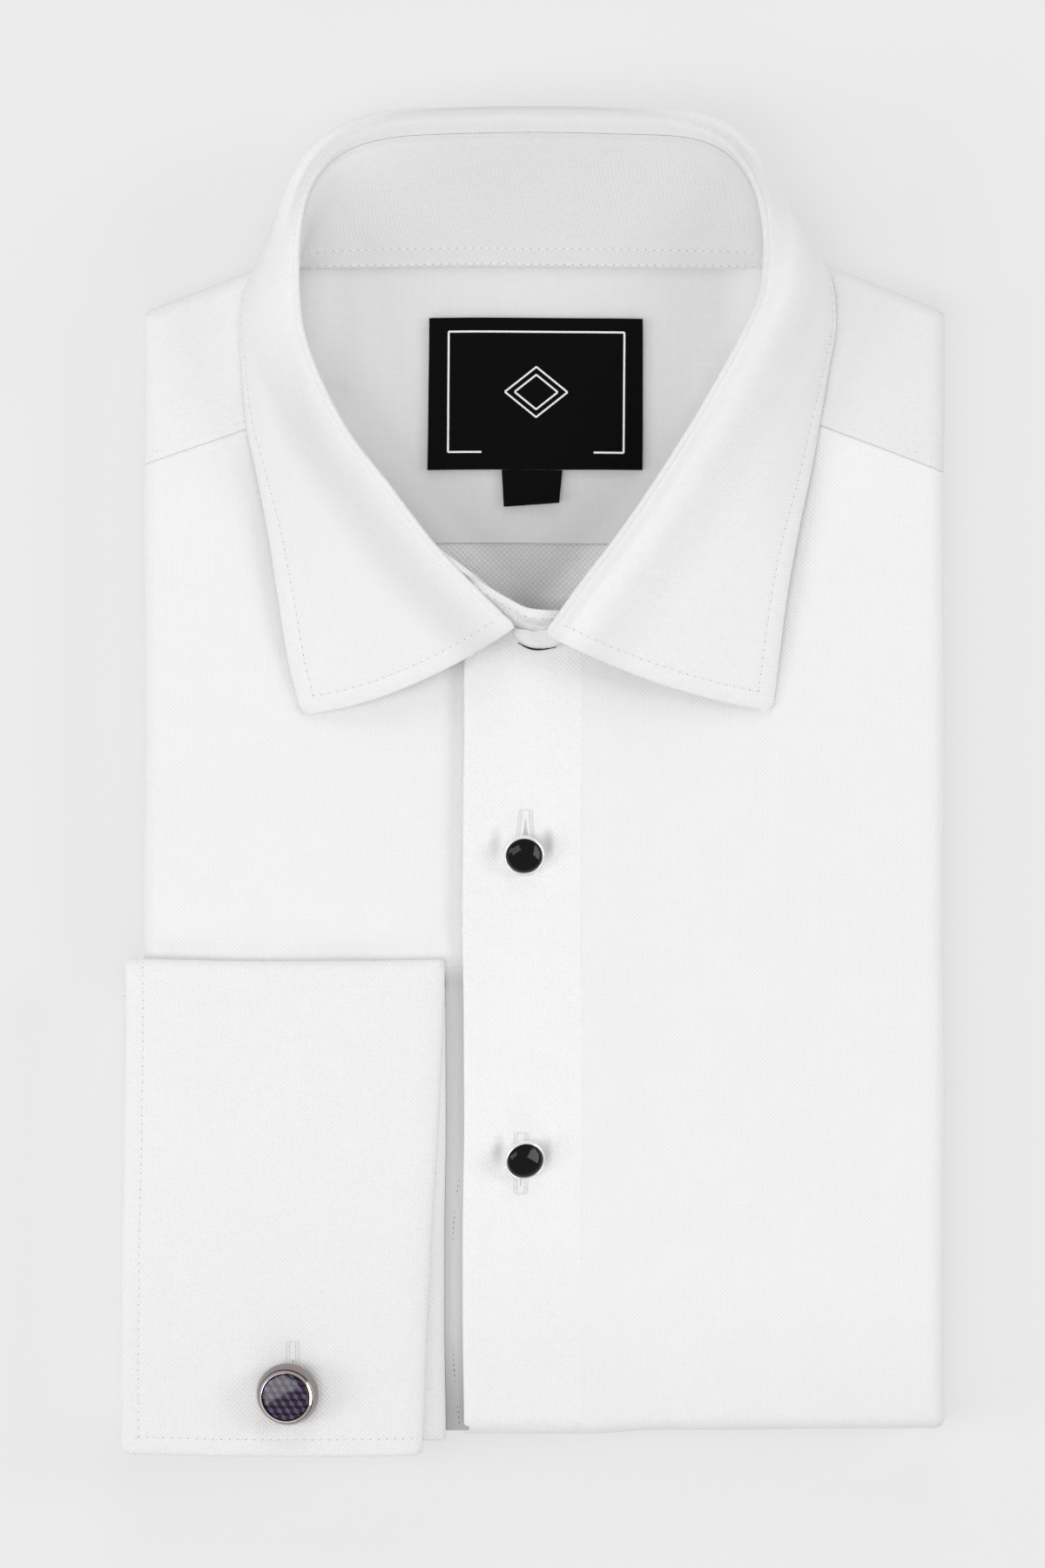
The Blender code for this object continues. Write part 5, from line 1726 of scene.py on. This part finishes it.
def make_buttonholes():
    """Satin-stitched buttonholes, a little open where a stud or the cufflink pulls them."""
    groups = []
    for hole in HOLES:

        def level(x, y, hole=hole):
            on_cuff = hole.level > PLACKET_TOP
            return hole.level + (CUFF_RAISE + cuff_belly(x, y) if on_cuff else 0.0 * x)

        def edge_level(x, y):
            return level(x, y) + 0.03

        def half(y):
            return HOLE_HALF_WIDTH - SATIN_HALF + hole.pull * math.exp(-(((y - hole.pulled_at) / 8.0) ** 2))

        ys = np.linspace(hole.low, hole.high, 14)
        for side in (-1, 1):
            for low, high in zip(ys, ys[1:]):
                ends = [(hole.x + side * half(y), y) for y in (low, high)]
                groups.append(bars(*ends, (1.0, 0.05), SATIN_PITCH, SATIN_HALF, SATIN_RADIUS, level))
                # Hairlines of painted shade along both sides of the satin
                for off in (-1.15, 1.15):
                    ends = [(hole.x + side * half(y) + off * SATIN_HALF, y) for y in (low, high)]
                    along = (ends[1][0] - ends[0][0], high - low)
                    groups.append(bars(*ends, along, 0.5, 0.3, 0.085, edge_level, tone=1))
        for end in (hole.low, hole.high):
            ends = [(hole.x + side * half(end), end) for side in (-1, 1)]
            groups.append(bars(*ends, (0.0, 1.0), SATIN_PITCH, BAR_HALF, SATIN_RADIUS, level))
        # The open slit is painted shade
        slit = hole.slit
        for y in np.linspace(slit.narrow, slit.wide, 18):
            width = SLIT_LEAST + (slit.half - SLIT_LEAST) * (y - slit.narrow) / (slit.wide - slit.narrow)
            ends = [(hole.x + side * width, y) for side in (-1, 1)]
            groups.append(bars(*ends, (0.0, 1.0), 0.22, 0.30, 0.10, level, tone=1))
    thread_mesh("buttonhole_threads", groups, [material("stitch_thread"), material("slit_shade")], "pique")


# Studs and cufflink: radius and height of each point of the outline

STUD_PLACES = ((-2.4, -21.0, 20.0, 0.0), (-2.8, -108.3, 21.0, 12.0))
STUD_RIM = (
    (0, -0.4), (1.5, -0.4), (1.5, 0), (4.2, 0), (4.9, 0.18), (5.45, 0.5), (5.72, 0.95), (5.83, 1.4),
    (5.82, 1.85), (5.74, 2.2), (5.62, 2.42), (5.45, 2.5), (5.28, 2.42), (5.17, 2.22), (5.12, 1.9), (5.1, 1.5),
    (0, 1.5),
)
# Radius of a dome, and the heights of its foot, of its edge and of its crown
STUD_DOME, LINK_DOME = (5.04, 1.8, 2.3, 4.05), (6.62, 5.2, 5.6, 6.15)
DOME_STEPS = 12
LINK_LIFT = 0.3
LINK_PLACE = (-70.0, -175.0, 9.0, -7.0)
LINK_BARREL = (
    (0, -0.9), (2.2, -0.9), (2.2, 0), (7.4, 0), (8.1, 0.2), (8.65, 0.6), (8.95, 1.2), (9.0, 1.8), (8.85, 2.6),
    (8.5, 3.6), (8.1, 4.5), (7.85, 4.95), (7.7, 5.0), (7.64, 5.25), (7.56, 5.36), (7.44, 5.45), (7.2, 5.63),
    (7.08, 5.72), (6.98, 5.74), (6.88, 5.6), (6.78, 5.3), (6.7, 4.9), (0, 4.9),
)
# The metal of each step of that outline: 0 the wall, 1 the bright ring, 2 the grooves beside it
LINK_METALS = (0,) * 11 + (2,) * 2 + (1,) * 5 + (2,) * 4


def dome(radius, foot, rim, crown):
    """The outline of a shallow dome on a short upright edge."""
    points = [(0, foot), (radius - 0.05, foot), (radius, rim)]
    for k in range(1, DOME_STEPS):
        angle = math.pi / 2 * k / DOME_STEPS
        points.append((radius * math.cos(angle), rim + (crown - rim) * math.sin(angle)))
    return points + [(0, crown)]


def lifted(outline, place):
    """How far up a tilted piece stands so that its foot and its lowest edge clear what it is on."""
    tilt = math.radians(math.hypot(place[2], place[3]))
    return GAP + max(radius * math.sin(tilt) - height * math.cos(tilt) for radius, height in outline)


def make_studs():
    for number, place in enumerate(STUD_PLACES, start=1):
        base = PLACKET_TOP + lifted(STUD_RIM, place)
        turned(f"stud_{number}_rim", STUD_RIM, place, base, material("stud_silver"), "silver")
        turned(f"stud_{number}_dome", dome(*STUD_DOME), place, base, material("stud_enamel"), "enamel")


def make_cufflink():
    base = CUFF_TOP_LEVEL + CUFF_HALF + CUFF_RAISE + lifted(LINK_BARREL, LINK_PLACE) + LINK_LIFT
    metals = [material("link_gunmetal"), material("link_ring"), material("link_groove")]
    turned("cufflink_barrel", LINK_BARREL, LINK_PLACE, base, metals, "gunmetal", LINK_METALS)
    turned("cufflink_face", dome(*LINK_DOME), LINK_PLACE, base, material("link_inlay"), "inlay")


# Cut of each sheet: its flat width and length, and the share of that rectangle that it fills

Cut = namedtuple("Cut", "piece width length share held rests_on")


# Stage

AIM = (-3.0, -1.0, 20.5)
FRAME_HEIGHT = 450.0
SENSOR = 36.0
FLOOR_RADIUS = 4.0


def linked(name, data):
    """A new object of the scene."""
    made = bpy.data.objects.new(name, data)
    bpy.context.scene.collection.objects.link(made)
    return made


def make_floor(settings):
    mesh = bpy.data.meshes.new("floor")
    shape = bmesh.new()
    bmesh.ops.create_circle(shape, cap_ends=True, segments=96, radius=FLOOR_RADIUS)
    shape.to_mesh(mesh)
    shape.free()
    floor = linked("floor", mesh)
    made, tree, shader = begun("floor_paper")
    colour = tuple(settings.floor_colour)
    grain = noise(tree, object_place(tree), 1400.0, 2.0).outputs["Fac"]
    tinted(tree, grain, scaled_colour(colour, 0.985), colour, shader.inputs["Base Color"])
    shader.inputs["Roughness"].default_value = 1.0
    shader.inputs["Specular IOR Level"].default_value = 0.0
    shader.inputs["Emission Color"].default_value = (1.0, 1.0, 1.0, 1)
    shader.inputs["Emission Strength"].default_value = settings.floor_glow
    mesh.materials.append(made)


# Area lights, in metres. share is of the power of the key light, and of the side lights for the others;
# lit is whether one lights matt surfaces, and mirrored whether it shows in glossy ones.
Light = namedtuple("Light", "name place size share lit mirrored")
LIGHTS = (
    Light("key_light", (-0.3, -0.5, 3.2), 1.4, 1.0, True, False),
    Light("left_light", (-2.0, -0.3, 1.3), 0.9, 0.88, True, True),
    Light("right_light", (1.9, 0.4, 1.2), 0.8, 0.84, True, True),
    Light("hem_light", (0.2, -2.3, 1.5), 1.2, 0.47, True, False),
    Light("collar_light", (0.1, 2.3, 1.5), 1.2, 0.78, True, False),
    Light("upper_light", (-0.84, -0.17, 1.8), 0.9, 0.42, True, False),
    Light("window_card", (-0.95, -0.43, 1.8), 1.1, 0.95, False, True),
    Light("stud_card", (1.5, -0.62, 1.2), 1.4, 2.4, False, True),
)


def make_lights(settings):
    world = bpy.data.worlds.new("studio")
    bpy.context.scene.world = world
    world.use_nodes = True
    sky = world.node_tree.nodes["Background"]
    sky.inputs["Color"].default_value = (1.0, 1.0, 1.0, 1)
    sky.inputs["Strength"].default_value = settings.sky
    for light in LIGHTS:
        lamp = bpy.data.lights.new(light.name, "AREA")
        lamp.shape = "SQUARE"
        lamp.size = light.size
        lamp.energy = light.share * (settings.key if light.name == "key_light" else settings.cards)
        made = linked(light.name, lamp)
        made.location = light.place
        made.rotation_euler = (-Vector(light.place)).to_track_quat("-Z", "Y").to_euler()
        made.visible_diffuse, made.visible_glossy = light.lit, light.mirrored


def make_camera(settings):
    lens = bpy.data.cameras.new("camera")
    lens.lens = settings.lens
    lens.sensor_width = SENSOR
    lens.sensor_fit = "AUTO"
    lens.clip_start, lens.clip_end = 0.05, 50.0
    camera = linked("camera", lens)
    distance = FRAME_HEIGHT * settings.lens / SENSOR
    camera.location = (Vector(AIM) + Vector((0, 0, distance))) * MM
    bpy.context.scene.camera = camera
    bpy.context.scene.view_settings.view_transform = "Standard"


def make_stage():
    settings = bpy.context.scene.shirt_stage
    make_floor(settings)
    make_lights(settings)
    make_camera(settings)


# Operators


class SHIRT_OT_stage(bpy.types.Operator):
    """Makes the floor, the studio light and the camera"""

    bl_idname = "shirt.stage"
    bl_label = "Stage"

    def execute(self, context):
        make_stage()
        return {"FINISHED"}


class SHIRT_OT_folded_layers(bpy.types.Operator):
    """Makes the hidden layers that the shirt lies on"""

    bl_idname = "shirt.folded_layers"
    bl_label = "Folded layers"

    def execute(self, context):
        make_folded_layers()
        return {"FINISHED"}


class SHIRT_OT_fronts(bpy.types.Operator):
    """Makes the two fronts, folded under at the sides and the hem, and the strip beside the cuff"""

    bl_idname = "shirt.fronts"
    bl_label = "Fronts"

    def execute(self, context):
        make_fronts()
        return {"FINISHED"}


class SHIRT_OT_yokes(bpy.types.Operator):
    """Makes the yoke over each shoulder, topstitched along its seam"""

    bl_idname = "shirt.yokes"
    bl_label = "Yokes"

    def execute(self, context):
        make_yokes()
        return {"FINISHED"}


class SHIRT_OT_placket(bpy.types.Operator):
    """Makes the front placket, which wraps round the hem fold"""

    bl_idname = "shirt.placket"
    bl_label = "Placket"

    def execute(self, context):
        make_placket()
        return {"FINISHED"}


class SHIRT_OT_neck_inside(bpy.types.Operator):
    """Makes the yoke lining and the inside of the back"""

    bl_idname = "shirt.neck_inside"
    bl_label = "Neck inside"

    def execute(self, context):
        make_neck_inside()
        return {"FINISHED"}


class SHIRT_OT_label(bpy.types.Operator):
    """Makes the woven label and the size tab"""

    bl_idname = "shirt.label"
    bl_label = "Label"

    def execute(self, context):
        make_label()
        return {"FINISHED"}


class SHIRT_OT_collar(bpy.types.Operator):
    """Makes the collar band and the fall with both leaves, and their stitching"""

    bl_idname = "shirt.collar"
    bl_label = "Collar"

    def execute(self, context):
        make_collar()
        return {"FINISHED"}


class SHIRT_OT_cuff(bpy.types.Operator):
    """Makes the double cuff and the stretch of sleeve that runs to it"""

    bl_idname = "shirt.cuff"
    bl_label = "Cuff and sleeve"

    def execute(self, context):
        make_sleeve_and_cuff()
        return {"FINISHED"}


class SHIRT_OT_buttonholes(bpy.types.Operator):
    """Makes the stitched buttonholes of the placket and the cuff"""

    bl_idname = "shirt.buttonholes"
    bl_label = "Buttonholes"

    def execute(self, context):
        make_buttonholes()
        return {"FINISHED"}


class SHIRT_OT_studs(bpy.types.Operator):
    """Makes the studs, each a polished rim and an enamel dome"""

    bl_idname = "shirt.studs"
    bl_label = "Studs"

    def execute(self, context):
        make_studs()
        return {"FINISHED"}


class SHIRT_OT_cufflink(bpy.types.Operator):
    """Makes the cufflink, a polished barrel with an inlaid face"""

    bl_idname = "shirt.cufflink"
    bl_label = "Cufflink"

    def execute(self, context):
        make_cufflink()
        return {"FINISHED"}


class SHIRT_OT_cuts(bpy.types.Operator):
    """Does nothing"""

    bl_idname = "shirt.cuts"
    bl_label = "Cuts"

    def execute(self, context):
        return {"FINISHED"}


OPERATORS = (
    SHIRT_OT_stage, SHIRT_OT_folded_layers, SHIRT_OT_fronts, SHIRT_OT_yokes, SHIRT_OT_placket,
    SHIRT_OT_neck_inside, SHIRT_OT_label, SHIRT_OT_collar, SHIRT_OT_cuff, SHIRT_OT_buttonholes,
    SHIRT_OT_studs, SHIRT_OT_cufflink, SHIRT_OT_cuts,
)


class SHIRT_PT_sidebar(bpy.types.Panel):
    """Lists the shirt's sizes and colours and makes its pieces"""

    bl_label = "Folded shirt"
    bl_idname = "SHIRT_PT_sidebar"
    bl_space_type = "VIEW_3D"
    bl_region_type = "UI"
    bl_category = "Shirt"

    def draw(self, context):
        for group in (context.scene.shirt_cloth, context.scene.shirt_trim, context.scene.shirt_stage):
            box = self.layout.box()
            for name in group.__annotations__:
                box.prop(group, name)
        for operator in OPERATORS:
            self.layout.operator(operator.bl_idname)


CLASSES = (ShirtCloth, ShirtTrim, ShirtStage, *OPERATORS, SHIRT_PT_sidebar)


def register():
    for one in CLASSES:
        bpy.utils.register_class(one)
    bpy.types.Scene.shirt_cloth = PointerProperty(type=ShirtCloth)
    bpy.types.Scene.shirt_trim = PointerProperty(type=ShirtTrim)
    bpy.types.Scene.shirt_stage = PointerProperty(type=ShirtStage)


def unregister():
    del bpy.types.Scene.shirt_stage
    del bpy.types.Scene.shirt_trim
    del bpy.types.Scene.shirt_cloth
    for one in reversed(CLASSES):
        bpy.utils.unregister_class(one)


def main():
    register()
    for operator in OPERATORS:
        group, name = operator.bl_idname.split(".")
        getattr(getattr(bpy.ops, group), name)()


if __name__ == "__main__":
    main()
